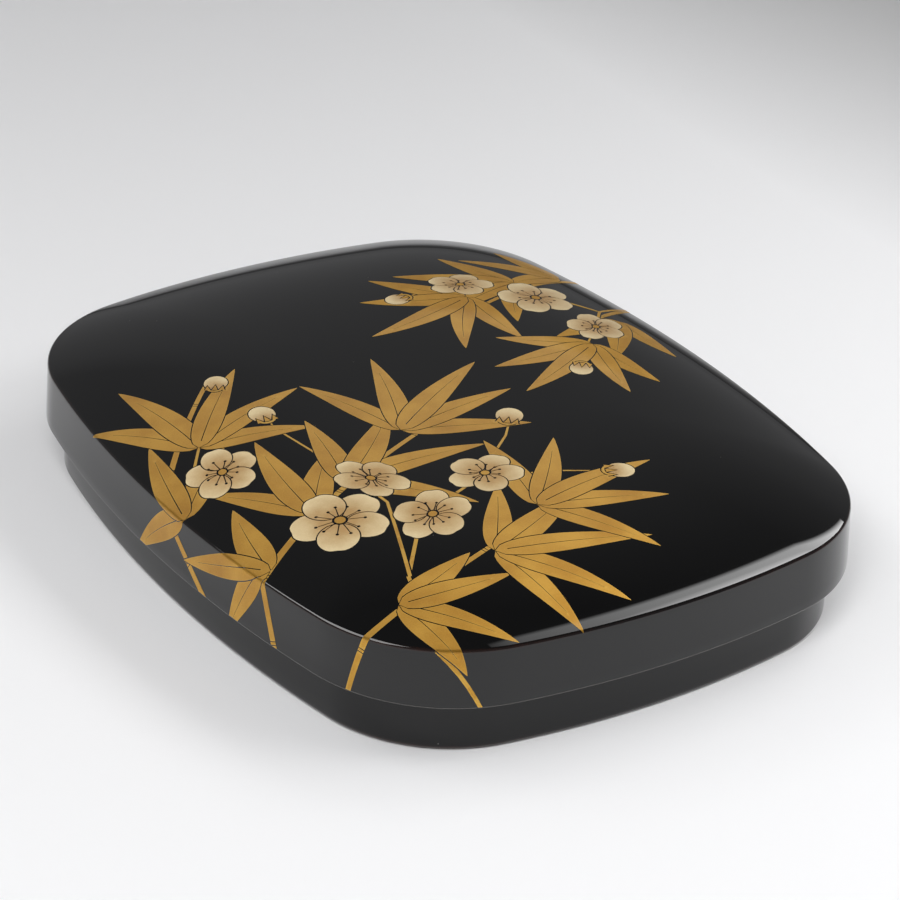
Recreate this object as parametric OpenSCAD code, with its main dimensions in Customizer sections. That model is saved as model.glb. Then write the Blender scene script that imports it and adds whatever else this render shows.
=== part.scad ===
// Writing box in black lacquer. A shallow base stands inside an overlapping domed lid. Inside it, a
// middle board holds the inkstone and the water dropper between two lift-out trays: brushes lie in the
// left one and the ink stick in the right one.
// Millimetres. X runs across the box, Y away from the writer and Z up from the table.

/* [Outline] */
// Width of the lid at its skirt's lower edge, left to right
lid_w = 200; // [188:1:230]
// Length of the lid at its skirt's lower edge, near end to far end
lid_l = 251; // [238:1:290]
// Radius of the bowed left and right sides
side_r = 438; // [390:1:600]
// Radius of the bowed near and far ends
end_r = 302; // [260:1:420]
// Radius of the rounded corners
corner_r = 50.5; // [40:0.5:58]

/* [Lid] */
// How far the lid's skirt hangs below the base's rim
skirt_drop = 13.8; // [8:0.2:20]
// Thickness of the lid's skirt at its lower edge
lid_wall = 4.9; // [3.5:0.1:6]
// Clearance all round between the skirt and the base's wall
lid_gap = 0.6; // [0.3:0.1:1]
// How far the skirt draws in on its way up to the lid's top edge
skirt_flare = 0.7; // [0:0.1:1.5]
// Height of the lid's top edge above the base's rim
lid_edge_t = 5.2; // [4:0.1:8]
// Rise of the dome above the lid's top edge
dome_rise = 11; // [5:0.5:16]
// Fullness of the dome: a higher power is flatter in the middle and steeper at the edge
dome_power = 4.2; // [2.5:0.1:6]
// Thickness of the lid at the middle of its dome
dome_t = 4.4; // [3:0.1:6]
// Radius of the lid's top edge
edge_round = 1.2; // [0.6:0.1:2.5]
// Radius of the skirt's lower outer edge
lip_round = 0.8; // [0.3:0.1:1.5]
// Width of the flat seat inside the lid beyond the base's rim
seat_extra = 3; // [1:0.5:5]

/* [Base] */
// Height of the base's rim above the table
base_h = 31.5; // [28:0.5:40]
// Thickness of the base's wall
base_wall = 4; // [3:0.1:5]
// Height of the inside floor above the table
floor_z = 4.5; // [3.5:0.1:6]
// Depth of the hollow under the base
foot_hollow = 1; // [0.5:0.1:1.5]
// Width of the flat ring that the base stands on
foot_w = 7; // [4:0.5:12]
// Radius of the base's bottom edge
foot_round = 1.6; // [0.8:0.1:2.5]
// Radius of the rim's outer edge, which leads the lid on
rim_round = 0.8; // [0.3:0.1:1.5]

/* [Inside fit] */
// Clearance of the board and the trays to the base's wall
wall_gap = 0.6; // [0.4:0.1:1.2]
// Clearance between the board and each tray
tray_gap = 0.8; // [0.4:0.1:1.5]
// Clearance of the inkstone and the dropper in their beds
bed_gap = 0.5; // [0.3:0.1:1]

/* [Middle board] */
// Thickness of the board
board_t = 7; // [6:0.5:9]
// Depth of the sunk beds in the board
bed_depth = 5; // [3:0.5:5.5]
// Wood left between the two beds
bed_bridge = 15; // [8:1:20]
// Radius of the finger scoops beside the inkstone
scoop_r = 9; // [7:0.5:11]
// Radius of the finger notch at the board's near end
notch_r = 10; // [7:0.5:12]

/* [Inkstone] */
// Width of the stone
stone_w = 66; // [54:1:70]
// Length of the stone
stone_l = 126; // [100:1:134]
// Thickness of the stone
stone_t = 13; // [11:0.5:16]
// Radius of the stone's corners
stone_corner = 4; // [2:0.5:8]
// Width of the raised rim round the grinding face
stone_rim = 5; // [3:0.5:8]
// Depth of the grinding face at its near end
land_depth = 1.4; // [0.8:0.1:2.5]
// Further drop of the grinding face where it reaches the well
land_fall = 1.4; // [0.5:0.1:2.5]
// Depth of the well below the rim
well_depth = 8; // [6:0.5:8.5]
// Length of the well's flat bottom
well_l = 17; // [10:1:24]
// Length of the curved slope from the grinding face down to the well
slope_l = 24; // [14:1:32]

/* [Water dropper] */
// Side of the square dropper
drop_w = 46; // [36:1:50]
// Height of the dropper, with its top plate
drop_h = 14; // [11:0.5:16]
// Radius of the dropper's corners
drop_corner = 6; // [3:0.5:9]
// Thickness of the metal sheet
sheet_t = 1.2; // [0.8:0.1:1.6]
// Radius of the air hole in the middle of the top
air_r = 1.5; // [1:0.1:2.5]
// Radius of the pouring hole
pour_r = 1.3; // [0.8:0.1:1.6]
// Height of the spout above the top plate
spout_h = 3; // [2:0.5:4]
// Radius of the spout at its foot
spout_r = 3.4; // [2.8:0.1:4.5]
// Distance of the spout's middle from the two nearest sides
spout_in = 8; // [6.5:0.5:11]

/* [Trays] */
// Width of each tray at its widest
tray_w = 41.1; // [39:0.1:44]
// Height of each tray
tray_h = 14; // [12:0.5:16]
// Thickness of the tray's walls
tray_wall = 2.4; // [1.6:0.1:3]
// Thickness of the tray's floor
tray_floor = 2.2; // [1.5:0.1:3]
// Width of the notched brush rests
rest_w = 5; // [3:0.5:8]
// Distance between the two brush rests, middle to middle
rest_span = 84; // [60:1:92]
// Distance from the large brush's collar to the middle of the far rest
rest_back = 15; // [8:1:25]
// Clearance of a brush handle in its notch
notch_gap = 0.2; // [0.1:0.05:0.4]
// Thickness of the slat across the right tray
slat_t = 2.4; // [1.6:0.1:4]
// How far the slat's top lies below the tray's rim
slat_drop = 3; // [1:0.5:5]

/* [Ink stick] */
// Width of the ink stick
ink_w = 21; // [16:0.5:22]
// Length of the ink stick
ink_l = 72; // [60:1:76]
// Thickness of the ink stick
ink_t = 8.5; // [7:0.5:11]
// Radius of the ink stick's corners
ink_corner = 2; // [1:0.5:4]
// Width of the raised border on its upper face
ink_border = 2; // [1:0.5:3]
// Depth of the panel inside the border
panel_depth = 0.5; // [0.3:0.1:1]
// Free space round the ink stick in its bay
ink_gap = 2.5; // [1.5:0.5:3.5]

/* [Brushes] */
// Radius of the large brush's handle
large_r = 4.7; // [3.8:0.1:5]
// Length of the large brush from tail to tip
large_l = 182; // [160:1:186]
// Radius of the large brush's collar at its mouth
collar_r = 5.9; // [5.6:0.1:6.2]
// Length of the collar
collar_l = 16; // [13:0.5:20]
// Length of hair outside the large brush's collar
large_hair_l = 36; // [28:1:44]
// Radius of the small brush's handle
small_r = 3.2; // [2.8:0.1:3.6]
// Length of the small brush from tail to tip
small_l = 166; // [150:1:170]
// Length of hair outside the small brush's handle
small_hair_l = 24; // [18:1:28]
// Depth of the sockets that hold hair and tails
socket_l = 6; // [4:0.5:7]
// Thickness of the glue round each part in its socket
glue_gap = 0.05; // [0.03:0.01:0.08]
// Space left between the large brush and the tray's wall, and between the two brushes
brush_gap = 2; // [1:0.5:2.5]

/* [Hidden] */

// Finishes
lacquer = "#0d0d0f";
slate = "#3b4145";
copper = "#8f6544";
bamboo = "#c8a265";
horn = "#2b1c15";
hair = "#e0cfac";
ink = "#202024";

// Counts of the straight steps that stand for each curve
side_steps = 7;      // half of a bowed side
corner_steps = 10;   // a rounded corner
end_steps = 7;       // half of a bowed end
dome_steps = 10;
inner_dome_steps = 7;
edge_steps = 4;      // the lid's top edge
lip_steps = 3;       // the skirt's lower edge, and the rim's and foot's edges
slope_steps = 14;    // the slope down to the inkstone's well
plan_steps = 6;      // a quarter turn in a small plan corner
turn_fn = 64;        // round turned parts
hair_sides = 36;
hair_steps = 11;
eps = 0.01;          // how far a cutter runs past the face that it opens
far = 400;           // longer than anything in the box

// Insets from the lid's outline
base_out = lid_wall + lid_gap;
base_in = base_out + base_wall;
seat_in = base_in + seat_extra;
fit_in = base_in + wall_gap;

// Heights
skirt_z = base_h - skirt_drop;
edge_z = base_h + lid_edge_t;
lid_top_z = edge_z + dome_rise;
inner_rise = lid_top_z - dome_t - base_h;
bed_z = floor_z + board_t - bed_depth;
tray_floor_z = floor_z + tray_floor;

// Straight inner faces of the trays, and the board between them
tray_x = lid_w / 2 - fit_in - tray_w;
board_half = tray_x - tray_gap;

// Inkstone and dropper stand in one row along the middle of the board, each in its bed
stone_bed_w = stone_w + 2 * bed_gap;
stone_bed_l = stone_l + 2 * bed_gap;
drop_bed_w = drop_w + 2 * bed_gap;
row_l = stone_l + bed_bridge + drop_w + 2 * bed_gap;
stone_y = -row_l / 2 + stone_l / 2;
drop_y = row_l / 2 - drop_w / 2;
drop_z = bed_z + drop_h - sheet_t;

// Brushes lie side by side, measured from the straight wall of the left tray
large_x = -(tray_x + tray_wall + brush_gap + collar_r);
small_x = large_x - collar_r - brush_gap - small_r;
brush_clear = 0.5;   // the collar's height above the tray's floor
seat_gap = 0.03;     // between a handle and the bottom of its notch
brush_z = tray_floor_z + brush_clear + collar_r;

// Brush lengths along their axes, from the tail
tail_l = 3;          // length of a tail outside its handle
large_handle_l = large_l - tail_l - large_hair_l - collar_l + socket_l;
small_handle_l = small_l - tail_l - small_hair_l;
collar_at = tail_l + large_handle_l - socket_l;
rest_y = collar_at - large_l / 2 - rest_back;

// The ink stick lies in the far bay of the right tray
ink_x = tray_x + tray_wall + ink_gap + ink_w / 2;
slat_y = 4;          // middle of the slat
ink_y = slat_y + slat_t / 2 + ink_gap + ink_l / 2;

// ---------------------------------------------------------------------------------------------
// The outline: bowed sides and ends, joined by corner arcs that touch both. A corner arc's centre
// lies inside the side arc and the end arc by the difference of the radii, so it is the point where
// two circles round the centres of those arcs cross.

function unit(a) = [cos(a), sin(a)];

side_c = [lid_w / 2 - side_r, 0];
end_c = [0, lid_l / 2 - end_r];
reach_s = side_r - corner_r;
reach_e = end_r - corner_r;
between = norm(end_c - side_c);
along = (reach_s ^ 2 - reach_e ^ 2 + between ^ 2) / (2 * between);
across = sqrt(reach_s ^ 2 - along ^ 2);
chord = (end_c - side_c) / between;
corner_c = side_c + along * chord + across * [-chord.y, chord.x];
side_a = atan2(corner_c.y - side_c.y, corner_c.x - side_c.x);
end_a = atan2(corner_c.y - end_c.y, corner_c.x - end_c.x);

// A quarter of the outline, inset by d, from the middle of the right side to the middle of the far end
function quarter(d) = concat(
    [for (i = [0:side_steps - 1]) side_c + (side_r - d) * unit(side_a * i / side_steps)],
    [for (i = [0:corner_steps - 1])
        corner_c + (corner_r - d) * unit(side_a + (end_a - side_a) * i / corner_steps)],
    [for (i = [0:end_steps]) end_c + (end_r - d) * unit(end_a + (90 - end_a) * i / end_steps)]
);

// The whole outline, inset by d, counter-clockwise from the middle of the right side
function outline(d) =
    let (q = quarter(d), n = len(q) - 1)
    concat(
        [for (i = [0:n - 1]) q[i]],
        [for (i = [n:-1:1]) [-q[i].x, q[i].y]],
        [for (i = [0:n - 1]) -q[i]],
        [for (i = [n:-1:1]) [q[i].x, -q[i].y]]
    );

// The outline inset by d, at height z, drawn in towards the middle by the share s
function ring(d, z, s = 1) = [for (p = outline(d)) [s * p.x, s * p.y, z]];

// A closed skin over rings of equal count, from a first point in the middle to a last one. The rings
// run outwards over the upper side, round the wall, and back inwards below.
module skin(rings, first, last) {
    n = len(rings[0]);
    m = len(rings);
    polyhedron(
        points = concat([for (r = rings) each r], [first, last]),
        faces = concat(
            [for (i = [0:n - 1]) [m * n, (i + 1) % n, i]],
            [for (j = [0:m - 2], i = [0:n - 1])
                [j * n + i, j * n + (i + 1) % n, (j + 1) * n + (i + 1) % n, (j + 1) * n + i]],
            [for (i = [0:n - 1]) [(m - 1) * n + i, (m - 1) * n + (i + 1) % n, m * n + 1]]
        )
    );
}

// A closed band over rings of equal count: the last ring joins the first, so it runs round like a tube.
module band(rings) {
    n = len(rings[0]);
    m = len(rings);
    polyhedron(
        points = [for (r = rings) each r],
        faces = [for (j = [0:m - 1], i = [0:n - 1])
            [j * n + i, j * n + (i + 1) % n, (j + 1) % m * n + (i + 1) % n, (j + 1) % m * n + i]]
    );
}

// Rounded rectangle as points, centred on the origin
function rounded_rect(w, l, r) = [
    for (q = [0:3], i = [0:plan_steps])
        [(q == 0 || q == 3 ? 1 : -1) * (w / 2 - r), (q < 2 ? 1 : -1) * (l / 2 - r)]
            + r * unit(90 * (q + i / plan_steps))
];

module rounded_block(w, l, h, r) {
    linear_extrude(h) polygon(rounded_rect(w, l, r));
}

// ---------------------------------------------------------------------------------------------
// Lid and base

// Height of the outer dome at the share s of the way from its middle to its edge
function dome_z(s) = edge_z + dome_rise * (1 - s ^ dome_power);

// Slope of the dome where it meets the rounded top edge
edge_a = atan(dome_rise * dome_power / (lid_w / 2));

// Height where the rounded top edge meets the slanted outside, and where that ends at the rounded lip
slant_top = edge_z - edge_round * cos(edge_a);
slant_foot = skirt_z + lip_round;

// Inset of the slanted outside at height z
function slant_in(z) = skirt_flare * (z - slant_foot) / (slant_top - slant_foot);

// The lid's top. Its flat underside at the height of the base's rim carries the skirt and seats on the rim.
module lid() {
    color(lacquer)
    skin(
        concat(
            [for (i = [1:dome_steps]) let (s = sin(90 * i / dome_steps))
                ring(skirt_flare + edge_round * (1 - sin(edge_a)), dome_z(s), s)],
            [for (i = [1:edge_steps]) let (a = edge_a + (90 - edge_a) * i / edge_steps)
                ring(skirt_flare + edge_round * (1 - sin(a)),
                     edge_z - edge_round * (cos(edge_a) - cos(a)))],
            [ring(slant_in(base_h), base_h), ring(seat_in, base_h)],
            [for (i = [inner_dome_steps - 1:-1:1]) let (s = sin(90 * i / inner_dome_steps))
                ring(seat_in, base_h + inner_rise * (1 - s ^ dome_power), s)]
        ),
        [0, 0, lid_top_z],
        [0, 0, lid_top_z - dome_t]
    );
}

// The bent band that is glued under the lid's top and hangs over the base
module lid_skirt() {
    color(lacquer)
    band(concat(
        [ring(slant_in(base_h), base_h)],
        [for (i = [0:lip_steps]) let (a = 90 * i / lip_steps)
            ring(lip_round * (1 - cos(a)), skirt_z + lip_round * (1 - sin(a)))],
        [ring(lid_wall, skirt_z), ring(lid_wall, base_h)]
    ));
}

module base_box() {
    color(lacquer)
    skin(
        concat(
            [ring(base_in, floor_z), ring(base_in, base_h)],
            [for (i = [0:lip_steps]) let (a = 90 * i / lip_steps)
                ring(base_out + rim_round * (1 - sin(a)), base_h - rim_round * (1 - cos(a)))],
            [for (i = [0:lip_steps]) let (a = 90 * i / lip_steps)
                ring(base_out + foot_round * (1 - cos(a)), foot_round * (1 - sin(a)))],
            [ring(base_out + foot_round + foot_w, 0), ring(base_out + foot_round + foot_w, foot_hollow)]
        ),
        [0, 0, floor_z],
        [0, 0, foot_hollow]
    );
}

// ---------------------------------------------------------------------------------------------
// Middle board, inkstone and water dropper

module inkstone_board() {
    color(lacquer)
    translate([0, 0, floor_z])
    difference() {
        linear_extrude(board_t)
            intersection() {
                polygon(outline(fit_in));
                square([2 * board_half, far], center = true);
            }
        translate([0, 0, board_t - bed_depth]) {
            translate([0, stone_y, 0]) {
                rounded_block(stone_bed_w, stone_bed_l, board_t, stone_corner + bed_gap);
                for (side = [-1, 1])
                    translate([side * stone_w / 2, 0, 0])
                        cylinder(h = board_t, r = scoop_r, $fn = turn_fn);
            }
            translate([0, drop_y, 0])
                rounded_block(drop_bed_w, drop_bed_w, board_t, drop_corner + bed_gap);
        }
        translate([0, -(lid_l / 2 - fit_in), -eps])
            cylinder(h = board_t + 2 * eps, r = notch_r, $fn = turn_fn);
    }
}

// Depth of the stone's upper face at the distance v from the inside of its near rim
hollow_l = stone_l - 2 * stone_rim;
land_l = hollow_l - slope_l - well_l;
land_end = land_depth + land_fall;
function land_z(v) = land_depth + land_fall * v / land_l;
function slope_z(t) = land_end + (well_depth - land_end) * (1 - cos(180 * t)) / 2;
function face_depth(v) =
    v < land_l ? land_z(v)
    : v < land_l + slope_l ? slope_z((v - land_l) / slope_l)
    : well_depth;

// The grinding face slopes gently away from the writer and then curves down into the well
module inkstone() {
    face = concat(
        [[0, face_depth(0)]],
        [for (i = [0:slope_steps]) let (v = land_l + slope_l * i / slope_steps) [v, face_depth(v)]],
        [[hollow_l, well_depth]]
    );
    color(slate)
    translate([0, stone_y, bed_z])
    difference() {
        rounded_block(stone_w, stone_l, stone_t, stone_corner);
        intersection() {
            rounded_block(stone_w - 2 * stone_rim, hollow_l, stone_t + 1, stone_corner);
            translate([0, -hollow_l / 2, stone_t])
                rotate([90, 0, 90])
                    linear_extrude(stone_w, center = true)
                        polygon(concat([[0, 1]], [for (p = face) [p.x, -p.y]], [[hollow_l, 1]]));
        }
    }
}

module dropper_case() {
    color(copper)
    translate([0, drop_y, bed_z])
    difference() {
        rounded_block(drop_w, drop_w, drop_h - sheet_t, drop_corner);
        translate([0, 0, sheet_t])
            rounded_block(drop_w - 2 * sheet_t, drop_w - 2 * sheet_t, drop_h, drop_corner - sheet_t);
    }
}

// Middle of the spout, in the near right corner of the top
spout_at = [drop_w / 2 - spout_in, drop_y - drop_w / 2 + spout_in];

module dropper_top() {
    color(copper)
    difference() {
        translate([0, drop_y, drop_z]) rounded_block(drop_w, drop_w, sheet_t, drop_corner);
        translate([0, drop_y, drop_z - eps]) cylinder(h = sheet_t + 2 * eps, r = air_r, $fn = turn_fn);
        translate([spout_at.x, spout_at.y, drop_z - eps])
            cylinder(h = sheet_t + 2 * eps, r = pour_r, $fn = turn_fn);
    }
}

spout_taper = 0.9;   // how much narrower the spout is at its lip
module dropper_spout() {
    color(copper)
    translate([spout_at.x, spout_at.y, drop_z + sheet_t])
    difference() {
        cylinder(h = spout_h, r1 = spout_r, r2 = spout_r - spout_taper, $fn = turn_fn);
        translate([0, 0, -eps]) cylinder(h = spout_h + 2 * eps, r = pour_r, $fn = turn_fn);
    }
}

// ---------------------------------------------------------------------------------------------
// Trays. Each fills the space between the board and the curved wall of the base.

// Plan of the left tray, inset by t
module tray_plan(t) {
    intersection() {
        polygon(outline(fit_in + t));
        translate([-far - tray_x - t, -far / 2]) square(far);
    }
}

module left_tray() {
    translate([0, 0, floor_z])
    difference() {
        linear_extrude(tray_h) tray_plan(0);
        translate([0, 0, tray_floor]) linear_extrude(tray_h) tray_plan(tray_wall);
    }
}

// A bar of thickness t and height h across the inside of the left tray
module cross_bar(y, t, h) {
    translate([0, 0, tray_floor_z])
    linear_extrude(h)
        intersection() {
            tray_plan(tray_wall);
            translate([-far, y - t / 2]) square([far, t]);
        }
}

// Half-round notch for a handle of radius r, which lies on its bottom
module notch(x, y, r) {
    translate([x, y, brush_z + notch_gap - seat_gap])
        rotate([90, 0, 0])
            cylinder(h = rest_w + 1, r = r + notch_gap, center = true, $fn = turn_fn);
}

module brush_rest(y) {
    color(lacquer)
    difference() {
        cross_bar(y, rest_w, brush_z - tray_floor_z);
        notch(large_x, y, large_r);
        notch(small_x, y, small_r);
    }
}

module brush_tray() {
    color(lacquer) left_tray();
}

module brush_rest_near() {
    brush_rest(rest_y - rest_span);
}

module brush_rest_far() {
    brush_rest(rest_y);
}

module ink_tray() {
    color(lacquer) mirror([1, 0, 0]) left_tray();
}

module ink_tray_divider() {
    color(lacquer) mirror([1, 0, 0]) cross_bar(slat_y, slat_t, tray_h - tray_floor - slat_drop);
}

// A pressed stick of ink, with a plain sunk panel inside a raised border
module ink_stick() {
    color(ink)
    translate([ink_x, ink_y, tray_floor_z])
    difference() {
        rounded_block(ink_w, ink_l, ink_t, ink_corner);
        translate([0, 0, ink_t - panel_depth])
            rounded_block(ink_w - 2 * ink_border, ink_l - 2 * ink_border, ink_t, ink_corner);
    }
}

// ---------------------------------------------------------------------------------------------
// Brushes. Each is drawn upright on its tail, then laid along Y with its hair at the far end.

tail_share = 0.5;             // radius of a tail's peg, as a share of the handle's radius
node_rise = 0.35;             // how far a joint of the bamboo stands out
node_l = 2.4;                 // length of a joint of the bamboo
near_joint = 0.08;            // where a handle's outer joint lies, as a share of its length
far_joint = 0.86;
hair_wall = 0.9;              // wall round the hair at a brush's mouth
collar_wall = 0.5;            // wall of the collar where the handle goes in
collar_flare = 2;             // length of the collar's curved foot, and of its straight mouth

large_root_r = collar_r - hair_wall;
small_root_r = small_r - hair_wall;

// Height of the joint that lies midway between the rests, on the handle of a brush of length l
function mid_joint(l) = rest_y - rest_span / 2 + l / 2 - tail_l;

module laid(x, l) {
    translate([x, -l / 2, brush_z]) rotate([-90, 0, 0]) children();
}

// A bamboo handle of radius r, with low joints at the given heights and a socket for its tail
module bamboo_handle(r, l, joints) {
    difference() {
        rotate_extrude($fn = turn_fn)
            polygon(concat(
                [[0, 0], [r, 0]],
                [for (z = joints) each [[r, z], [r + node_rise, z + node_l / 2], [r, z + node_l]]],
                [[r, l], [0, l]]
            ));
        translate([0, 0, -eps]) cylinder(h = socket_l + eps, r = r * tail_share + glue_gap, $fn = turn_fn);
    }
}

// A domed tail with a peg that fills the handle's socket
module brush_tail(r) {
    translate([0, 0, tail_l]) cylinder(h = socket_l, r = r * tail_share, $fn = turn_fn);
    rotate_extrude($fn = turn_fn)
        polygon(concat(
            [[0, 0]],
            [for (i = [0:plan_steps]) [r - tail_l / 2 * (1 - sin(90 * i / plan_steps)),
                                       tail_l / 2 * (1 - cos(90 * i / plan_steps))]],
            [[r, tail_l], [0, tail_l]]
        ));
}

// Radius of the hair at the share v of its free length: a full belly that draws in to a point
belly = 0.14;        // how much wider the belly is than the root
tip_r = 0.25;
function hair_r(v, root_r) =
    tip_r + (root_r - tip_r) * (1 + belly * sin(180 * min(1, v / 0.4))) * sqrt(max(0, 1 - v ^ 1.7));

// Hair set to a point with size, in fine locks, with a round root that goes into the socket
locks = 12;
lock_depth = 0.05;   // depth of the grooves between locks, as a share of the radius
module brush_hair(root_r, root_l, free_l) {
    upper = [for (j = [hair_steps:-1:0])
        let (v = j / hair_steps, groove = lock_depth * sin(180 * sqrt(v)), r = hair_r(v, root_r))
        [for (i = [0:hair_sides - 1])
            let (a = 360 * i / hair_sides)
            [r * (1 - groove * (1 - cos(locks * a)) / 2) * cos(a),
             r * (1 - groove * (1 - cos(locks * a)) / 2) * sin(a),
             root_l + free_l * v]]];
    root = [[for (i = [0:hair_sides - 1])
        let (a = 360 * i / hair_sides) [root_r * cos(a), root_r * sin(a), 0]]];
    skin(concat(upper, root), [0, 0, root_l + free_l], [0, 0, 0]);
}

module large_brush_handle() {
    color(bamboo)
    laid(large_x, large_l)
        translate([0, 0, tail_l])
            bamboo_handle(large_r, large_handle_l, [near_joint * large_handle_l, mid_joint(large_l)]);
}

// A turned horn cup that holds the handle at one end and the hair at the other
module large_brush_collar() {
    foot_r = large_r + collar_wall;
    waist_r = large_r + hair_wall;
    bell_l = collar_l - 2 * collar_flare;
    color(horn)
    laid(large_x, large_l)
        translate([0, 0, collar_at])
        difference() {
            rotate_extrude($fn = turn_fn)
                polygon(concat(
                    [[0, 0]],
                    [for (i = [0:plan_steps]) let (t = i / plan_steps)
                        [foot_r + (waist_r - foot_r) * sin(90 * t), collar_flare * t]],
                    [for (i = [1:plan_steps]) let (t = i / plan_steps)
                        [waist_r + (collar_r - waist_r) * (1 - cos(180 * t)) / 2,
                         collar_flare + bell_l * t]],
                    [[collar_r, collar_l], [0, collar_l]]
                ));
            translate([0, 0, -eps]) cylinder(h = socket_l + eps, r = large_r + glue_gap, $fn = turn_fn);
            translate([0, 0, collar_l - socket_l])
                cylinder(h = socket_l + eps, r = large_root_r + glue_gap, $fn = turn_fn);
        }
}

module large_brush_tuft() {
    color(hair)
    laid(large_x, large_l)
        translate([0, 0, large_l - large_hair_l - socket_l])
            brush_hair(large_root_r, socket_l, large_hair_l);
}

module large_brush_tail() {
    color(horn) laid(large_x, large_l) brush_tail(large_r);
}

module small_brush_handle() {
    color(bamboo)
    laid(small_x, small_l)
        translate([0, 0, tail_l])
        difference() {
            bamboo_handle(small_r, small_handle_l, [mid_joint(small_l), far_joint * small_handle_l]);
            translate([0, 0, small_handle_l - socket_l])
                cylinder(h = socket_l + eps, r = small_root_r + glue_gap, $fn = turn_fn);
        }
}

module small_brush_tuft() {
    color(hair)
    laid(small_x, small_l)
        translate([0, 0, small_l - small_hair_l - socket_l])
            brush_hair(small_root_r, socket_l, small_hair_l);
}

module small_brush_tail() {
    color(horn) laid(small_x, small_l) brush_tail(small_r);
}

base_box();
lid();
lid_skirt();
inkstone_board();
inkstone();
dropper_case();
dropper_top();
dropper_spout();
brush_tray();
brush_rest_near();
brush_rest_far();
ink_tray();
ink_tray_divider();
ink_stick();
large_brush_handle();
large_brush_collar();
large_brush_tuft();
large_brush_tail();
small_brush_handle();
small_brush_tuft();
small_brush_tail();
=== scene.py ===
"""Writing box in black lacquer, closed, with sprinkled gold and ivory on its domed lid.

Sizes are millimetres in the plan of the box: X to the right, Y away from the writer and Z up from the table.
They become metres where a mesh is made.
"""
import logging
import math
import random
from dataclasses import dataclass, field
from enum import Enum
from typing import Any, Iterable, Sequence

import bpy
from mathutils import Matrix, Vector
from mathutils.geometry import delaunay_2d_cdt


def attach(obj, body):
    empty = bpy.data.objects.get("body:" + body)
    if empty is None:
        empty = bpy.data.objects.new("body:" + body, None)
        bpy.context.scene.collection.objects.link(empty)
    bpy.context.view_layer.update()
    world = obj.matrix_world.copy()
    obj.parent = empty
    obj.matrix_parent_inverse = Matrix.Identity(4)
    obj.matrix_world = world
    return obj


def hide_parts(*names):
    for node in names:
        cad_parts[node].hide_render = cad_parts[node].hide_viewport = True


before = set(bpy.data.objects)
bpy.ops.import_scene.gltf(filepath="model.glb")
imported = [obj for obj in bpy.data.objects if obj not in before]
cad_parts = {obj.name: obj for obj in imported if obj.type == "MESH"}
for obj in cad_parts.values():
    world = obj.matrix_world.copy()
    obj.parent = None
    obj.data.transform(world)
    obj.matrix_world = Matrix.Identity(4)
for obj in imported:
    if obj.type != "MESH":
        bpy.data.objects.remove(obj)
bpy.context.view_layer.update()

log = logging.getLogger("writing_box")

MM = 0.001
Point = tuple[float, float]
Range = tuple[float, float]
Triple = tuple[float, float, float]
Colour = tuple[float, float, float, float]
Socket = bpy.types.NodeSocket
Inputs = dict[str | int, Any]

TINY = 1e-9           # what rounding may add to a length or an angle
SAME_POINT = 1e-6     # metres between two points of a CAD mesh that are one
EASED_FROM = 38.0     # degrees between two faces from which their edge is softened


# ---------------------------------------------------------------------------------------------
# Colours, nodes and meshes

def linear(hex_colour: str) -> Colour:
    """Turns an sRGB colour into the linear one that shaders take.

    Args:
        hex_colour: The colour as "#rrggbb".

    Returns:
        Red, green, blue and an alpha of 1.
    """
    parts = (int(hex_colour[i:i + 2], 16) / 255 for i in (1, 3, 5))
    red, green, blue = (c / 12.92 if c <= 0.04045 else ((c + 0.055) / 1.055) ** 2.4 for c in parts)
    return red, green, blue, 1.0


def add_node(tree: bpy.types.NodeTree, kind: str, inputs: Inputs | None = None,
             stops: Sequence[tuple[float, Colour]] = (), **settings: Any) -> bpy.types.Node:
    """Adds a node with its settings and links.

    Args:
        tree: The node tree of a material or a world.
        kind: Blender's name of the node's type.
        inputs: What goes into its sockets, by name or number: an output socket is linked, a value is set.
        stops: Position and colour of each stop of its colour ramp, from low to high.
        **settings: The node's own properties.

    Returns:
        The new node.
    """
    node = tree.nodes.new(kind)
    for name, value in settings.items():
        setattr(node, name, value)
    for socket, value in (inputs or {}).items():
        if isinstance(value, Socket):
            tree.links.new(value, node.inputs[socket])
        else:
            node.inputs[socket].default_value = value
    while stops and len(node.color_ramp.elements) < len(stops):
        node.color_ramp.elements.new(1.0)
    for number, (position, colour) in enumerate(stops):
        node.color_ramp.elements[number].position = position
        node.color_ramp.elements[number].color = colour
    return node


def new_piece(name: str, points: Iterable[Sequence[float]], faces: Iterable[Sequence[int]],
              materials: Sequence[bpy.types.Material], sharp: float = 35.0,
              slots: Sequence[int] | None = None) -> bpy.types.Object:
    """Makes a smooth-shaded mesh object.

    Args:
        name: Name of the piece.
        points: Its points in millimetres.
        faces: Its faces, as indices of the points.
        materials: Its materials.
        sharp: Angle between two faces, in degrees, from which their edge stays sharp.
        slots: Which material each face takes, where there are several.

    Returns:
        The object, in metres.
    """
    mesh = bpy.data.meshes.new(name)
    mesh.from_pydata([[MM * c for c in p] for p in points], [], list(faces))
    for material in materials:
        mesh.materials.append(material)
    if slots is not None:
        mesh.polygons.foreach_set("material_index", list(slots))
    mesh.polygons.foreach_set("use_smooth", [True] * len(mesh.polygons))
    mesh.set_sharp_from_angle(angle=math.radians(sharp))
    mesh.update()
    piece = bpy.data.objects.new(name, mesh)
    bpy.context.scene.collection.objects.link(piece)
    return piece


def place(piece: bpy.types.Object, body: str, slot: str, *replaced: str) -> None:
    """Puts a new piece on its body and hides the CAD nodes that it stands for.

    Args:
        piece: The piece.
        body: The CAD body that it moves with.
        slot: The record's material slot; not used.
        *replaced: The CAD nodes that it stands for.
    """
    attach(piece, body)
    if replaced:
        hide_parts(*replaced)
    log.info("%s: %d faces on %s", piece.name, len(piece.data.polygons), body)


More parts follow.
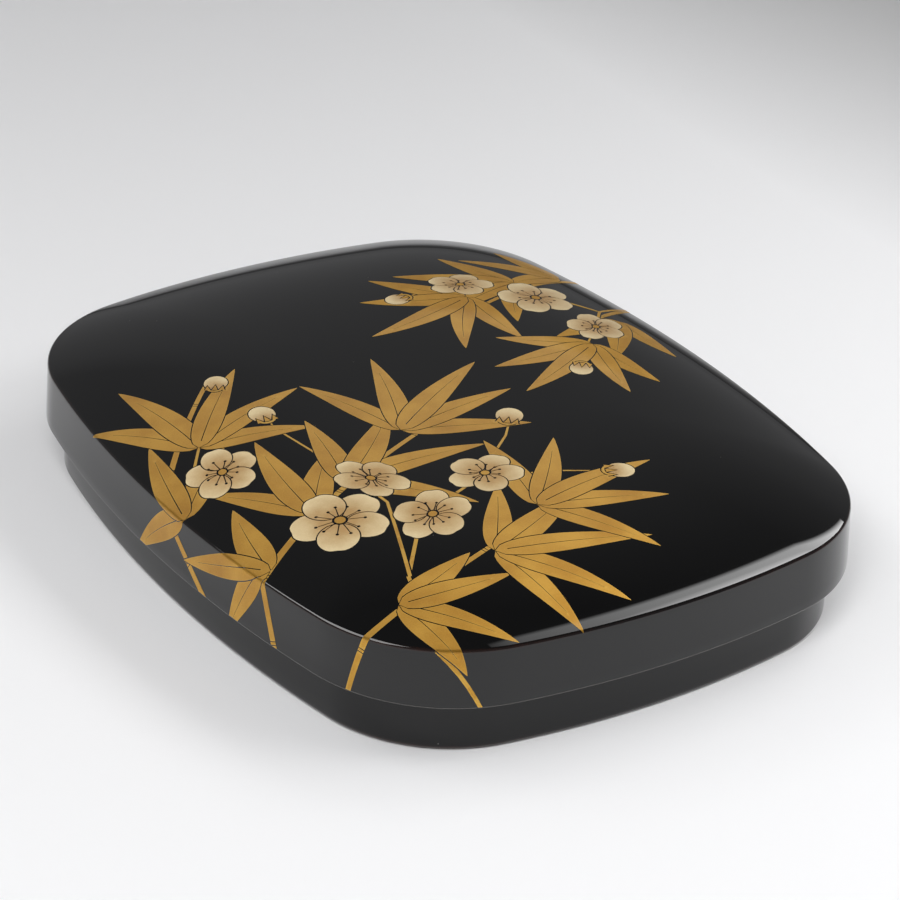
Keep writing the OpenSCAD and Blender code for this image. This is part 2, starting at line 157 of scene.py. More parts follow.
def dress(node: str, material: bpy.types.Material, ease: float = 0.0, steps: int = 2) -> None:
    """Gives a CAD node its material and softens its edges.

    Args:
        node: Name of the CAD node.
        material: Its finish.
        ease: Width of the softened edges in millimetres.
        steps: Faces across a softened edge.
    """
    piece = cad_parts[node]
    piece.data.materials.clear()
    piece.data.materials.append(material)
    piece.data.polygons.foreach_set("use_smooth", [True] * len(piece.data.polygons))
    piece.data.update()
    weld = piece.modifiers.new("joined_points", "WELD")
    weld.merge_threshold = SAME_POINT
    if ease:
        bevel = piece.modifiers.new("eased_edges", "BEVEL")
        bevel.width = ease * MM
        bevel.segments = steps
        bevel.limit_method = "ANGLE"
        bevel.angle_limit = math.radians(EASED_FROM)
        bevel.harden_normals = True
    log.info("%s: dressed in %s", node, material.name)


# ---------------------------------------------------------------------------------------------
# Finishes

@dataclass(frozen=True)
class Finish:
    """What every finish shares: its name and a shader with a place to start from."""

    name: str

    def start(self) -> tuple[bpy.types.Material, bpy.types.NodeTree, bpy.types.NodeSocket]:
        """Makes an empty material.

        Returns:
            The material, its node tree and the coordinates on the piece, in metres.
        """
        material = bpy.data.materials.new(self.name)
        material.use_nodes = True
        material.node_tree.nodes.clear()
        place_of = add_node(material.node_tree, "ShaderNodeTexCoord")
        return material, material.node_tree, place_of.outputs["Object"]

    @staticmethod
    def close(tree: bpy.types.NodeTree, inputs: Inputs) -> None:
        """Ends a material with its surface shader.

        Args:
            tree: The material's node tree.
            inputs: The shader's values and links.
        """
        shader = add_node(tree, "ShaderNodeBsdfPrincipled", inputs)
        add_node(tree, "ShaderNodeOutputMaterial", {"Surface": shader.outputs["BSDF"]})


@dataclass(frozen=True)
class MirrorLacquer(Finish):
    """Roiro urushi: many coats of black lacquer, each rubbed flat, the last one polished with powder and
    oil by hand. It is a deep black mirror with a trace of waviness and a few dust specks, and the lacquer
    is thinner on an edge, where its own brown shows."""

    name: str = "roiro_urushi_polished"
    black: str = "#050506"
    thin_brown: str = "#35170c"
    rubbed: str = "#6a6763"       # painted highlight: a pale hair line along the lid's lower edge, where the edge catches the light
    dust: str = "#8a8884"
    ior: float = 1.53             # hardened urushi
    roughness: float = 0.025      # hand-polished mirror
    uneven: Range = (0.7, 1.5)    # roughness of its smoothest and roughest places, as shares
    worn_mm: float = 9.0          # size of the patches in which an edge is worn
    worn_gain: float = 1.5
    haze_mm: float = 30.0         # size of the patches that differ in roughness
    wave_mm: float = 22.0         # length of the waviness that rubbing leaves
    wave_deep_mm: float = 0.004
    speck_mm: float = 9.5         # distance between dust specks
    speck_share: float = 0.018    # size of a speck as a share of that distance
    speck_rough: float = 0.5      # what a speck adds to the roughness

    def material(self) -> bpy.types.Material:
        """Builds the material.

        Returns:
            The material.
        """
        material, tree, at = self.start()
        thin = add_node(tree, "ShaderNodeAttribute", attribute_name="edge_thin").outputs["Fac"]
        patchy = add_node(tree, "ShaderNodeTexNoise",
                          {"Vector": at, "Scale": 1 / (self.worn_mm * MM), "Detail": 3.0}).outputs["Fac"]
        thin = add_node(tree, "ShaderNodeMath", {0: thin, 1: patchy}, operation="MULTIPLY").outputs[0]
        thin = add_node(tree, "ShaderNodeMath", {0: thin, 1: self.worn_gain}, operation="MULTIPLY",
                        use_clamp=True).outputs[0]
        colour = add_node(tree, "ShaderNodeMix", {0: thin, 6: linear(self.black),
                                                  7: linear(self.thin_brown)}, data_type="RGBA")
        # painted highlight along the lid's lower edge: its rings are mixed towards a pale grey
        rubbed = add_node(tree, "ShaderNodeAttribute", attribute_name="lip_highlight").outputs["Fac"]
        colour = add_node(tree, "ShaderNodeMix", {0: rubbed, 6: colour.outputs[2], 7: linear(self.rubbed)},
                          data_type="RGBA")
        specks = add_node(tree, "ShaderNodeTexVoronoi",
                          {"Vector": at, "Scale": 1 / (self.speck_mm * MM)}).outputs["Distance"]
        speck = add_node(tree, "ShaderNodeMath", {0: specks, 1: self.speck_share},
                         operation="LESS_THAN").outputs[0]
        dusty = add_node(tree, "ShaderNodeMix", {0: speck, 6: colour.outputs[2], 7: linear(self.dust)},
                         data_type="RGBA").outputs[2]
        haze = add_node(tree, "ShaderNodeTexNoise",
                        {"Vector": at, "Scale": 1 / (self.haze_mm * MM), "Detail": 5.0}).outputs["Fac"]
        rough = add_node(tree, "ShaderNodeMapRange",
                         {"Value": haze, "To Min": self.roughness * self.uneven[0],
                          "To Max": self.roughness * self.uneven[1]})
        rough = add_node(tree, "ShaderNodeMath", {0: speck, 1: self.speck_rough, 2: rough.outputs[0]},
                         operation="MULTIPLY_ADD").outputs[0]
        wave = add_node(tree, "ShaderNodeTexNoise",
                        {"Vector": at, "Scale": 1 / (self.wave_mm * MM), "Detail": 1.0}).outputs["Fac"]
        bump = add_node(tree, "ShaderNodeBump", {"Height": wave, "Strength": 1.0,
                                                 "Distance": self.wave_deep_mm * MM})
        self.close(tree, {"Base Color": dusty, "Roughness": rough, "IOR": self.ior,
                          "Normal": bump.outputs[0]})
        return material


@dataclass(frozen=True)
class SatinLacquer(Finish):
    """Black urushi left from the brush, as inside such boxes: soft gloss, faint brush streaks along the
    grain of the wood under it and no rubbing marks."""

    name: str = "nuritate_urushi_brushed"
    black: str = "#08080a"
    ior: float = 1.53
    roughness: float = 0.2
    uneven: Range = (0.75, 1.35)  # roughness of its smoothest and roughest places, as shares
    cloud_mm: float = 18.0        # size of the patches that differ in roughness
    streak_mm: float = 1.6        # width of a brush streak
    streak_deep_mm: float = 0.01
    streak_axis: Triple = (1.0, 0.06, 1.0)

    def material(self) -> bpy.types.Material:
        """Builds the material.

        Returns:
            The material.
        """
        material, tree, at = self.start()
        along = add_node(tree, "ShaderNodeMapping", {"Vector": at, "Scale": self.streak_axis})
        streak = add_node(tree, "ShaderNodeTexNoise",
                          {"Vector": along.outputs[0], "Scale": 1 / (self.streak_mm * MM), "Detail": 3.0})
        cloud = add_node(tree, "ShaderNodeTexNoise",
                         {"Vector": at, "Scale": 1 / (self.cloud_mm * MM), "Detail": 4.0})
        rough = add_node(tree, "ShaderNodeMapRange",
                         {"Value": cloud.outputs["Fac"], "To Min": self.roughness * self.uneven[0],
                          "To Max": self.roughness * self.uneven[1]})
        bump = add_node(tree, "ShaderNodeBump",
                        {"Height": streak.outputs["Fac"], "Strength": 0.5,
                         "Distance": self.streak_deep_mm * MM})
        self.close(tree, {"Base Color": linear(self.black), "Roughness": rough.outputs[0],
                          "IOR": self.ior, "Normal": bump.outputs[0]})
        return material


@dataclass(frozen=True)
class GoldMakie(Finish):
    """Hira maki-e: gold powder sprinkled on wet lacquer, sealed with clear lacquer and polished. The
    grains scatter like soft metal under a glossy coat and are a little browner where the powder lies
    thin. The drawn rims are painted paler, a painted highlight where a raised edge catches the light."""

    name: str = "gold_powder_makie"
    gold: str = "#d8a846"
    deep: str = "#c69437"
    thin: str = "#b4802a"
    # painted highlight: the paler colour that the drawn rims are mixed towards
    rim: str = "#e2b957"
    rim_highlight_share: float = 0.55       # how far a rim's painted highlight goes towards its colour
    roughness: float = 0.52
    uneven: Range = (0.92, 1.08)  # roughness of its smoothest and roughest places, as shares
    coat: float = 0.35            # the clear lacquer is polished down to the powder, so it covers it in part
    coat_ior: float = 1.53
    coat_roughness: float = 0.06
    grain_mm: float = 0.35        # real powder is near 0.02 mm; as coarse as it needs to show
    grain_deep_mm: float = 0.015
    patch_mm: float = 14.0

    def material(self) -> bpy.types.Material:
        """Builds the material.

        Returns:
            The material.
        """
        material, tree, at = self.start()
        rim = add_node(tree, "ShaderNodeAttribute", attribute_name="rim").outputs["Fac"]
        grain = add_node(tree, "ShaderNodeTexNoise",
                         {"Vector": at, "Scale": 1 / (self.grain_mm * MM), "Detail": 2.0,
                          "Roughness": 0.7}).outputs["Fac"]
        patch = add_node(tree, "ShaderNodeTexNoise",
                         {"Vector": at, "Scale": 1 / (self.patch_mm * MM), "Detail": 3.0}).outputs["Fac"]
        both = add_node(tree, "ShaderNodeMath", {0: grain, 1: 0.5, 2: patch}, operation="MULTIPLY_ADD")
        colour = add_node(tree, "ShaderNodeValToRGB", {"Fac": both.outputs[0]},
                          [(0.4, linear(self.thin)), (0.66, linear(self.deep)),
                           (0.95, linear(self.gold))]).outputs["Color"]
        # painted highlight: each shape's rim is mixed towards the paler colour
        edge = add_node(tree, "ShaderNodeMath", {0: rim, 1: rim}, operation="MULTIPLY")
        edge = add_node(tree, "ShaderNodeMath", {0: edge.outputs[0], 1: self.rim_highlight_share}, operation="MULTIPLY")
        colour = add_node(tree, "ShaderNodeMix", {0: edge.outputs[0], 6: colour, 7: linear(self.rim)},
                          data_type="RGBA")
        rough = add_node(tree, "ShaderNodeMapRange",
                         {"Value": patch, "To Min": self.roughness * self.uneven[0],
                          "To Max": self.roughness * self.uneven[1]})
        bump = add_node(tree, "ShaderNodeBump", {"Height": grain, "Strength": 0.5,
                                                 "Distance": self.grain_deep_mm * MM})
        self.close(tree, {"Base Color": colour.outputs[2], "Metallic": 1.0, "Roughness": rough.outputs[0],
                          "Coat Weight": self.coat, "Coat IOR": self.coat_ior,
                          "Coat Roughness": self.coat_roughness, "Normal": bump.outputs[0]})
        return material


@dataclass(frozen=True)
class IvoryMakie(Finish):
    """Pale colour lacquer dusted on as powder, sealed and polished: a warm ivory under a glossy coat, a
    little darker towards the heart of a flower, where the maker shaded it."""

    name: str = "ivory_pigment_makie"
    pale: str = "#dcc79a"
    shade: str = "#b08c58"
    ior: float = 1.52
    roughness: float = 0.34
    coat: float = 0.6
    coat_roughness: float = 0.06
    grain_mm: float = 0.5         # the powder, as coarse as it needs to show
    grain_deep_mm: float = 0.02
    cloud_mm: float = 5.0

    def material(self) -> bpy.types.Material:
        """Builds the material.

        Returns:
            The material.
        """
        material, tree, at = self.start()
        heart = add_node(tree, "ShaderNodeAttribute", attribute_name="heart").outputs["Fac"]
        cloud = add_node(tree, "ShaderNodeTexNoise",
                         {"Vector": at, "Scale": 1 / (self.cloud_mm * MM), "Detail": 4.0}).outputs["Fac"]
        grain = add_node(tree, "ShaderNodeTexNoise",
                         {"Vector": at, "Scale": 1 / (self.grain_mm * MM), "Detail": 1.0}).outputs["Fac"]
        mixed = add_node(tree, "ShaderNodeMath", {0: cloud, 1: 0.5, 2: heart}, operation="MULTIPLY_ADD")
        mixed = add_node(tree, "ShaderNodeMath", {0: grain, 1: 0.2, 2: mixed.outputs[0]},
                         operation="MULTIPLY_ADD")
        colour = add_node(tree, "ShaderNodeValToRGB", {"Fac": mixed.outputs[0]},
                          [(0.38, linear(self.pale)), (1.0, linear(self.shade))]).outputs["Color"]
        bump = add_node(tree, "ShaderNodeBump", {"Height": grain, "Strength": 0.3,
                                                 "Distance": self.grain_deep_mm * MM})
        self.close(tree, {"Base Color": colour, "Roughness": self.roughness, "IOR": self.ior,
                          "Coat Weight": self.coat, "Coat Roughness": self.coat_roughness,
                          "Normal": bump.outputs[0]})
        return material


@dataclass(frozen=True)
class Slate(Finish):
    """Inkstone slate, sawn, carved and rubbed with a whetstone: dark blue-grey and matt, in faint bands
    with fine mica glints, some bands a little smoother than others."""

    name: str = "slate_rubbed"
    dark: str = "#26292c"
    light: str = "#3f4549"
    glint: str = "#7d8487"
    ior: float = 1.56
    roughness: float = 0.5
    uneven: Range = (0.85, 1.2)   # roughness of its smoothest and roughest places, as shares
    band_mm: float = 14.0
    band_deep_mm: float = 0.06
    band_axis: Triple = (0.35, 1.0, 2.2)
    band_turn: Triple = (0.35, 0.2, 0.5)   # the slate's bed lies aslant in the stone
    mica_mm: float = 0.6
    mica_size: Range = (0.05, 0.16)        # a glint's core and rim, as shares of the distance between two
    mica_share: float = 0.55               # how far a glint goes towards its own colour

    def material(self) -> bpy.types.Material:
        """Builds the material.

        Returns:
            The material.
        """
        material, tree, at = self.start()
        slope = add_node(tree, "ShaderNodeMapping", {"Vector": at, "Rotation": self.band_turn,
                                                     "Scale": self.band_axis})
        band = add_node(tree, "ShaderNodeTexNoise",
                        {"Vector": slope.outputs[0], "Scale": 1 / (self.band_mm * MM), "Detail": 7.0,
                         "Roughness": 0.62}).outputs["Fac"]
        colour = add_node(tree, "ShaderNodeValToRGB", {"Fac": band},
                          [(0.35, linear(self.dark)), (0.68, linear(self.light))]).outputs["Color"]
        mica = add_node(tree, "ShaderNodeTexVoronoi",
                        {"Vector": at, "Scale": 1 / (self.mica_mm * MM)}).outputs["Distance"]
        spot = add_node(tree, "ShaderNodeMapRange",
                        {"Value": mica, "From Min": self.mica_size[0], "From Max": self.mica_size[1],
                         "To Min": self.mica_share, "To Max": 0.0})
        colour = add_node(tree, "ShaderNodeMix",
                          {0: spot.outputs[0], 6: colour, 7: linear(self.glint)}, data_type="RGBA")
        rough = add_node(tree, "ShaderNodeMapRange",
                         {"Value": band, "To Min": self.roughness * self.uneven[0],
                          "To Max": self.roughness * self.uneven[1]})
        bump = add_node(tree, "ShaderNodeBump", {"Height": band, "Strength": 0.35,
                                                 "Distance": self.band_deep_mm * MM})
        self.close(tree, {"Base Color": colour.outputs[2], "Roughness": rough.outputs[0],
                          "IOR": self.ior, "Normal": bump.outputs[0]})
        return material


@dataclass(frozen=True)
class AgedCopper(Finish):
    """Copper sheet, filed, soldered and coloured in a hot salt bath, then waxed: brown metal with rosy
    patches where hands have rubbed it."""

    name: str = "copper_sheet_patinated"
    brown: str = "#6a4029"
    rosy: str = "#c07a50"
    roughness: float = 0.34
    uneven: Range = (1.3, 0.75)   # roughness of its brown and its rubbed places, as shares
    patch_mm: float = 8.0
    file_mm: float = 0.35         # width of a file's marks
    file_deep_mm: float = 0.01
    file_axis: Triple = (1.0, 0.08, 1.0)

    def material(self) -> bpy.types.Material:
        """Builds the material.

        Returns:
            The material.
        """
        material, tree, at = self.start()
        patch = add_node(tree, "ShaderNodeTexNoise",
                         {"Vector": at, "Scale": 1 / (self.patch_mm * MM), "Detail": 6.0,
                          "Roughness": 0.6}).outputs["Fac"]
        colour = add_node(tree, "ShaderNodeValToRGB", {"Fac": patch},
                          [(0.38, linear(self.brown)), (0.72, linear(self.rosy))]).outputs["Color"]
        along = add_node(tree, "ShaderNodeMapping", {"Vector": at, "Scale": self.file_axis})
        fine = add_node(tree, "ShaderNodeTexNoise",
                        {"Vector": along.outputs[0], "Scale": 1 / (self.file_mm * MM), "Detail": 2.0})
        rough = add_node(tree, "ShaderNodeMapRange",
                         {"Value": patch, "To Min": self.roughness * self.uneven[0],
                          "To Max": self.roughness * self.uneven[1]})
        bump = add_node(tree, "ShaderNodeBump",
                        {"Height": fine.outputs["Fac"], "Strength": 0.3, "Distance": self.file_deep_mm * MM})
        self.close(tree, {"Base Color": colour, "Metallic": 1.0, "Roughness": rough.outputs[0],
                          "Normal": bump.outputs[0]})
        return material


@dataclass(frozen=True)
class BambooCane(Finish):
    """Thin bamboo cane, cured over a fire and rubbed with wax: a yellow-brown skin with long fibres and
    darker freckles."""

    name: str = "bamboo_cane_waxed"
    pale: str = "#d9b676"
    dark: str = "#a97c42"
    freckle: str = "#6d4523"
    ior: float = 1.5
    roughness: float = 0.33
    fibre_mm: float = 0.45
    fibre_deep_mm: float = 0.03
    fibre_axis: Triple = (1.0, 0.02, 1.0)
    cloud_mm: float = 16.0
    freckle_mm: float = 2.2
    freckle_from: Range = (0.66, 0.74)     # where in its noise a freckle starts and is full
    freckle_share: float = 0.6             # how far a freckle goes towards its own colour

    def material(self) -> bpy.types.Material:
        """Builds the material.

        Returns:
            The material.
        """
        material, tree, at = self.start()
        along = add_node(tree, "ShaderNodeMapping", {"Vector": at, "Scale": self.fibre_axis})
        fibre = add_node(tree, "ShaderNodeTexNoise",
                         {"Vector": along.outputs[0], "Scale": 1 / (self.fibre_mm * MM), "Detail": 3.0,
                          "Roughness": 0.6}).outputs["Fac"]
        cloud = add_node(tree, "ShaderNodeTexNoise",
                         {"Vector": at, "Scale": 1 / (self.cloud_mm * MM), "Detail": 3.0})
        both = add_node(tree, "ShaderNodeMath", {0: fibre, 1: 0.6, 2: cloud.outputs["Fac"]},
                        operation="MULTIPLY_ADD")
        colour = add_node(tree, "ShaderNodeValToRGB", {"Fac": both.outputs[0]},
                          [(0.55, linear(self.dark)), (0.95, linear(self.pale))]).outputs["Color"]
        spots = add_node(tree, "ShaderNodeTexNoise",
                         {"Vector": at, "Scale": 1 / (self.freckle_mm * MM), "Detail": 2.0})
        spot = add_node(tree, "ShaderNodeMapRange",
                        {"Value": spots.outputs["Fac"], "From Min": self.freckle_from[0],
                         "From Max": self.freckle_from[1], "To Max": self.freckle_share})
        colour = add_node(tree, "ShaderNodeMix",
                          {0: spot.outputs[0], 6: colour, 7: linear(self.freckle)}, data_type="RGBA")
        bump = add_node(tree, "ShaderNodeBump", {"Height": fibre, "Strength": 0.5,
                                                 "Distance": self.fibre_deep_mm * MM})
        self.close(tree, {"Base Color": colour.outputs[2], "Roughness": self.roughness, "IOR": self.ior,
                          "Normal": bump.outputs[0]})
        return material


@dataclass(frozen=True)
class Horn(Finish):
    """Buffalo horn, turned on a lathe and polished: nearly black brown with paler streaks and a waxy
    gloss."""

    name: str = "buffalo_horn_polished"
    dark: str = "#160e0a"
    streak: str = "#5a3b24"
    ior: float = 1.54
    roughness: float = 0.2
    uneven: Range = (0.8, 1.3)    # roughness of its smoothest and roughest places, as shares
    streak_mm: float = 1.8
    streak_axis: Triple = (1.0, 0.15, 1.0)

    def material(self) -> bpy.types.Material:
        """Builds the material.

        Returns:
            The material.
        """
        material, tree, at = self.start()
        along = add_node(tree, "ShaderNodeMapping", {"Vector": at, "Scale": self.streak_axis})
        streak = add_node(tree, "ShaderNodeTexNoise",
                          {"Vector": along.outputs[0], "Scale": 1 / (self.streak_mm * MM), "Detail": 4.0})
        colour = add_node(tree, "ShaderNodeValToRGB", {"Fac": streak.outputs["Fac"]},
                          [(0.45, linear(self.dark)), (0.8, linear(self.streak))]).outputs["Color"]
        rough = add_node(tree, "ShaderNodeMapRange",
                         {"Value": streak.outputs["Fac"], "To Min": self.roughness * self.uneven[0],
                          "To Max": self.roughness * self.uneven[1]})
        self.close(tree, {"Base Color": colour, "Roughness": rough.outputs[0], "IOR": self.ior})
        return material


@dataclass(frozen=True)
class SizedHair(Finish):
    """Goat hair, washed and drawn to a point with seaweed size: cream, in fine lines that run to the tip,
    with a slight sheen from the dried size."""

    name: str = "goat_hair_sized"
    pale: str = "#efe3c8"
    shade: str = "#b89d6e"
    ior: float = 1.55
    roughness: float = 0.5
    sheen: float = 0.2
    hair_mm: float = 0.22         # real hair is near 0.06 mm; as coarse as it needs to show
    hair_deep_mm: float = 0.1
    hair_axis: Triple = (1.0, 0.03, 1.0)

    def material(self) -> bpy.types.Material:
        """Builds the material.

        Returns:
            The material.
        """
        material, tree, at = self.start()
        along = add_node(tree, "ShaderNodeMapping", {"Vector": at, "Scale": self.hair_axis})
        line = add_node(tree, "ShaderNodeTexNoise",
                        {"Vector": along.outputs[0], "Scale": 1 / (self.hair_mm * MM), "Detail": 2.0,
                         "Roughness": 0.7}).outputs["Fac"]
        colour = add_node(tree, "ShaderNodeValToRGB", {"Fac": line},
                          [(0.3, linear(self.shade)), (0.6, linear(self.pale))]).outputs["Color"]
        bump = add_node(tree, "ShaderNodeBump", {"Height": line, "Strength": 0.8,
                                                 "Distance": self.hair_deep_mm * MM})
        self.close(tree, {"Base Color": colour, "Roughness": self.roughness, "IOR": self.ior,
                          "Sheen Weight": self.sheen, "Normal": bump.outputs[0]})
        return material


@dataclass(frozen=True)
class PressedInk(Finish):
    """Stick of lamp soot and glue, pressed in a wooden mould and dried in ash: blue-black with a dull
    gloss and a very fine grain."""

    name: str = "soot_ink_pressed"
    black: str = "#131317"
    worn: str = "#26262c"
    ior: float = 1.5
    roughness: float = 0.42
    uneven: Range = (0.8, 1.3)    # roughness of its smoothest and roughest places, as shares
    grain_mm: float = 0.8
    grain_deep_mm: float = 0.04
    cloud_mm: float = 14.0

    def material(self) -> bpy.types.Material:
        """Builds the material.

        Returns:
            The material.
        """
        material, tree, at = self.start()
        grain = add_node(tree, "ShaderNodeTexNoise",
                         {"Vector": at, "Scale": 1 / (self.grain_mm * MM), "Detail": 5.0}).outputs["Fac"]
        cloud = add_node(tree, "ShaderNodeTexNoise",
                         {"Vector": at, "Scale": 1 / (self.cloud_mm * MM), "Detail": 3.0}).outputs["Fac"]
        colour = add_node(tree, "ShaderNodeValToRGB", {"Fac": cloud},
                          [(0.4, linear(self.black)), (0.75, linear(self.worn))]).outputs["Color"]
        rough = add_node(tree, "ShaderNodeMapRange",
                         {"Value": cloud, "To Min": self.roughness * self.uneven[0],
                          "To Max": self.roughness * self.uneven[1]})
        bump = add_node(tree, "ShaderNodeBump", {"Height": grain, "Strength": 0.35,
                                                 "Distance": self.grain_deep_mm * MM})
        self.close(tree, {"Base Color": colour, "Roughness": rough.outputs[0], "IOR": self.ior,
                          "Normal": bump.outputs[0]})
        return material


@dataclass(frozen=True)
class PaperSweep(Finish):
    """White background paper under the box, matt and slightly uneven. Its right side is painted a
    darker grey, a painted shade where the light falls away."""

    name: str = "background_paper"
    white: str = "#f2f2f3"
    # painted shade: the paper turns from white to this grey towards the right
    grey: str = "#9e9e9e"
    shade_from: float = 0.26      # in metres to the right of the box
    shade_full: float = 0.52
    specular: float = 0.2
    fleck_mm: float = 10 / 9
    fleck_deep_mm: float = 0.1
    roughness: float = 0.75

    def material(self) -> bpy.types.Material:
        """Builds the material.

        Returns:
            The material.
        """
        material, tree, at = self.start()
        fleck = add_node(tree, "ShaderNodeTexNoise",
                         {"Vector": at, "Scale": 1 / (self.fleck_mm * MM), "Detail": 2.0})
        bump = add_node(tree, "ShaderNodeBump",
                        {"Height": fleck.outputs["Fac"], "Strength": 0.05,
                         "Distance": self.fleck_deep_mm * MM})
        aside = add_node(tree, "ShaderNodeSeparateXYZ", {0: at})
        # painted shade: darker towards the right
        shade = add_node(tree, "ShaderNodeMapRange",
                         {"Value": aside.outputs["X"], "From Min": self.shade_from,
                          "From Max": self.shade_full})
        tone = add_node(tree, "ShaderNodeMix", {0: shade.outputs[0], 6: linear(self.white),
                                                7: linear(self.grey)}, data_type="RGBA")
        self.close(tree, {"Base Color": tone.outputs[2], "Roughness": self.roughness,
                          "Specular IOR Level": self.specular, "Normal": bump.outputs[0]})
        return material


# ---------------------------------------------------------------------------------------------
# The box's outline, which every curved piece shares

@dataclass(frozen=True)
class Outline:
    """Bowed sides and ends joined by corner arcs that touch both, as the lid's lower edge has it."""

    width: float = 200.0
    length: float = 251.0
    side_radius: float = 438.0
    end_radius: float = 302.0
    corner_radius: float = 50.5
    side_steps: int = 14
    corner_steps: int = 30
    end_steps: int = 14
    side_centre: Vector = field(init=False, compare=False)
    end_centre: Vector = field(init=False, compare=False)
    corner_centre: Vector = field(init=False, compare=False)

    def __post_init__(self) -> None:
        """Works out the arc centres. A corner's centre is where two circles round the others' cross."""
        side = Vector((self.width / 2 - self.side_radius, 0))
        end = Vector((0, self.length / 2 - self.end_radius))
        reach_side = self.side_radius - self.corner_radius
        reach_end = self.end_radius - self.corner_radius
        between = (end - side).length
        along = (reach_side ** 2 - reach_end ** 2 + between ** 2) / (2 * between)
        across = math.sqrt(reach_side ** 2 - along ** 2)
        chord = (end - side) / between
        corner = side + along * chord + across * Vector((-chord.y, chord.x))
        for name, value in (("side_centre", side), ("end_centre", end), ("corner_centre", corner)):
            object.__setattr__(self, name, value)

    def arcs(self) -> list[tuple[Vector, float, float, float, int]]:
        """The arcs of one quarter.

        Returns:
            Centre, radius, first and last angle and number of steps of each arc, from the middle of the
            right side to the middle of the far end.
        """
        first = math.atan2(*(self.corner_centre - self.side_centre).yx)
        last = math.atan2(*(self.corner_centre - self.end_centre).yx)
        return [(self.side_centre, self.side_radius, 0.0, first, self.side_steps),
                (self.corner_centre, self.corner_radius, first, last, self.corner_steps),
                (self.end_centre, self.end_radius, last, math.pi / 2, self.end_steps)]

    def plan(self, inset: float) -> list[Point]:
        """The whole outline.

        Args:
            inset: How far inside the lid's lower edge it runs.

        Returns:
            Its points, counter-clockwise from the middle of the right side.
        """
        quarter: list[Point] = []
        for centre, radius, low, high, steps in self.arcs():
            for i in range(steps):
                angle = low + (high - low) * i / steps
                quarter.append((centre.x + (radius - inset) * math.cos(angle),
                                centre.y + (radius - inset) * math.sin(angle)))
        quarter.append((0.0, self.length / 2 - inset))
        back = quarter[-1:0:-1]
        return ([*quarter[:-1]] + [(-x, y) for x, y in back] + [(-x, -y) for x, y in quarter[:-1]]
                + [(x, -y) for x, y in back])

    def ring(self, inset: float, height: float, share: float = 1.0) -> list[Triple]:
        """The outline at a height, drawn in towards the middle by a share."""
        return [(share * x, share * y, height) for x, y in self.plan(inset)]

    def edge_point(self, x: float, y: float, inset: float) -> tuple[float, Vector, Vector]:
        """Where a point lies against the outline.

        Args:
            x: The point's place across the box.
            y: The point's place along the box.
            inset: How far inside the lid's lower edge the outline runs.

        Returns:
            The point's share of the way from the middle to the outline, the outline's point that way, and
            its outward normal there.
        """
        signs = Vector((math.copysign(1, x), math.copysign(1, y)))
        way = Vector((abs(x), abs(y)))
        far = way.length
        if far < TINY:
            return 0.0, Vector((self.width / 2 - inset, 0)), Vector((1, 0))
        way /= far
        for centre, radius, low, high, _ in self.arcs():
            along = way.dot(centre)
            step = along + math.sqrt(max(0.0, along ** 2 - centre.length_squared + (radius - inset) ** 2))
            edge = way * step
            normal = (edge - centre).normalized()
            angle = math.atan2(normal.y, normal.x)
            if low - TINY <= angle <= high + TINY:
                break
        return far / step, edge * signs, normal * signs

    def beyond(self, x: float, y: float, inset: float) -> tuple[float, Vector, Vector]:
        """How far a point lies outside the outline.

        Args:
            x: The point's place across the box.
            y: The point's place along the box.
            inset: How far inside the lid's lower edge the outline runs.

        Returns:
            The distance, which is negative inside, the nearest point of the outline and its outward normal.
        """
        signs = Vector((math.copysign(1, x), math.copysign(1, y)))
        spot = Vector((abs(x), abs(y)))
        best: tuple[float, Vector, Vector] | None = None
        for centre, radius, low, high, _ in self.arcs():
            out = spot - centre
            angle = min(max(math.atan2(out.y, out.x), low), high)
            normal = Vector((math.cos(angle), math.sin(angle)))
            foot = centre + (radius - inset) * normal
            gap = (spot - foot).dot(normal)
            miss = (spot - foot - gap * normal).length
            if best is None or miss + abs(gap) < best[0]:
                best = (miss + abs(gap), foot, normal)
        _, foot, normal = best
        return (spot - foot).dot(normal), foot * signs, normal * signs


OUTLINE = Outline()
CORNER_WAY = (0.64, 0.77)     # direction from a corner arc's centre to where the box is handled most
CORNER_REACH = 42.0           # millimetres along the edge over which a corner's wear fades
SIDE_WEAR = 0.25              # wear along the sides, where the corners' is 1


def skin(rings: Sequence[Sequence[Sequence[float]]], first: Sequence[float] | None,
         last: Sequence[float] | None) -> tuple[list, list, list[int]]:
    """A closed skin over rings of equal count.

    Args:
        rings: The rings, outwards over the upper side, round the wall and back inwards below.
        first: The point that closes the first ring.
        last: The point that closes the last ring.

    Returns:
        Points, faces, and for each face the number of the ring that it starts from.
    """
    count, total = len(rings[0]), len(rings)
    points = [p for ring in rings for p in ring] + [first, last]
    faces, starts = [], []
    for i in range(count):
        k = (i + 1) % count
        faces.append((total * count, i, k))
        starts.append(0)
        for j in range(total - 1):
            faces.append((j * count + i, (j + 1) * count + i, (j + 1) * count + k, j * count + k))
            starts.append(j)
        faces.append((total * count + 1, (total - 1) * count + k, (total - 1) * count + i))
        starts.append(total - 1)
    return points, faces, starts


def wear(worn: Sequence[float]) -> list[float]:
    """Spreads the wear of each ring over its points: full at the corners and slight along the sides.

    Args:
        worn: How thin the lacquer is on each ring.

    Returns:
        The wear of each point, with two more for the points that close the skin.
    """
    corner = OUTLINE.corner_centre + OUTLINE.corner_radius * Vector(CORNER_WAY)
    share = []
    for x, y in OUTLINE.plan(0.0):
        away = (Vector((abs(x), abs(y))) - corner).length
        share.append(SIDE_WEAR + (1 - SIDE_WEAR) * math.exp(-(away / CORNER_REACH) ** 2))
    return [w * s for w in worn for s in share] + [0.0, 0.0]


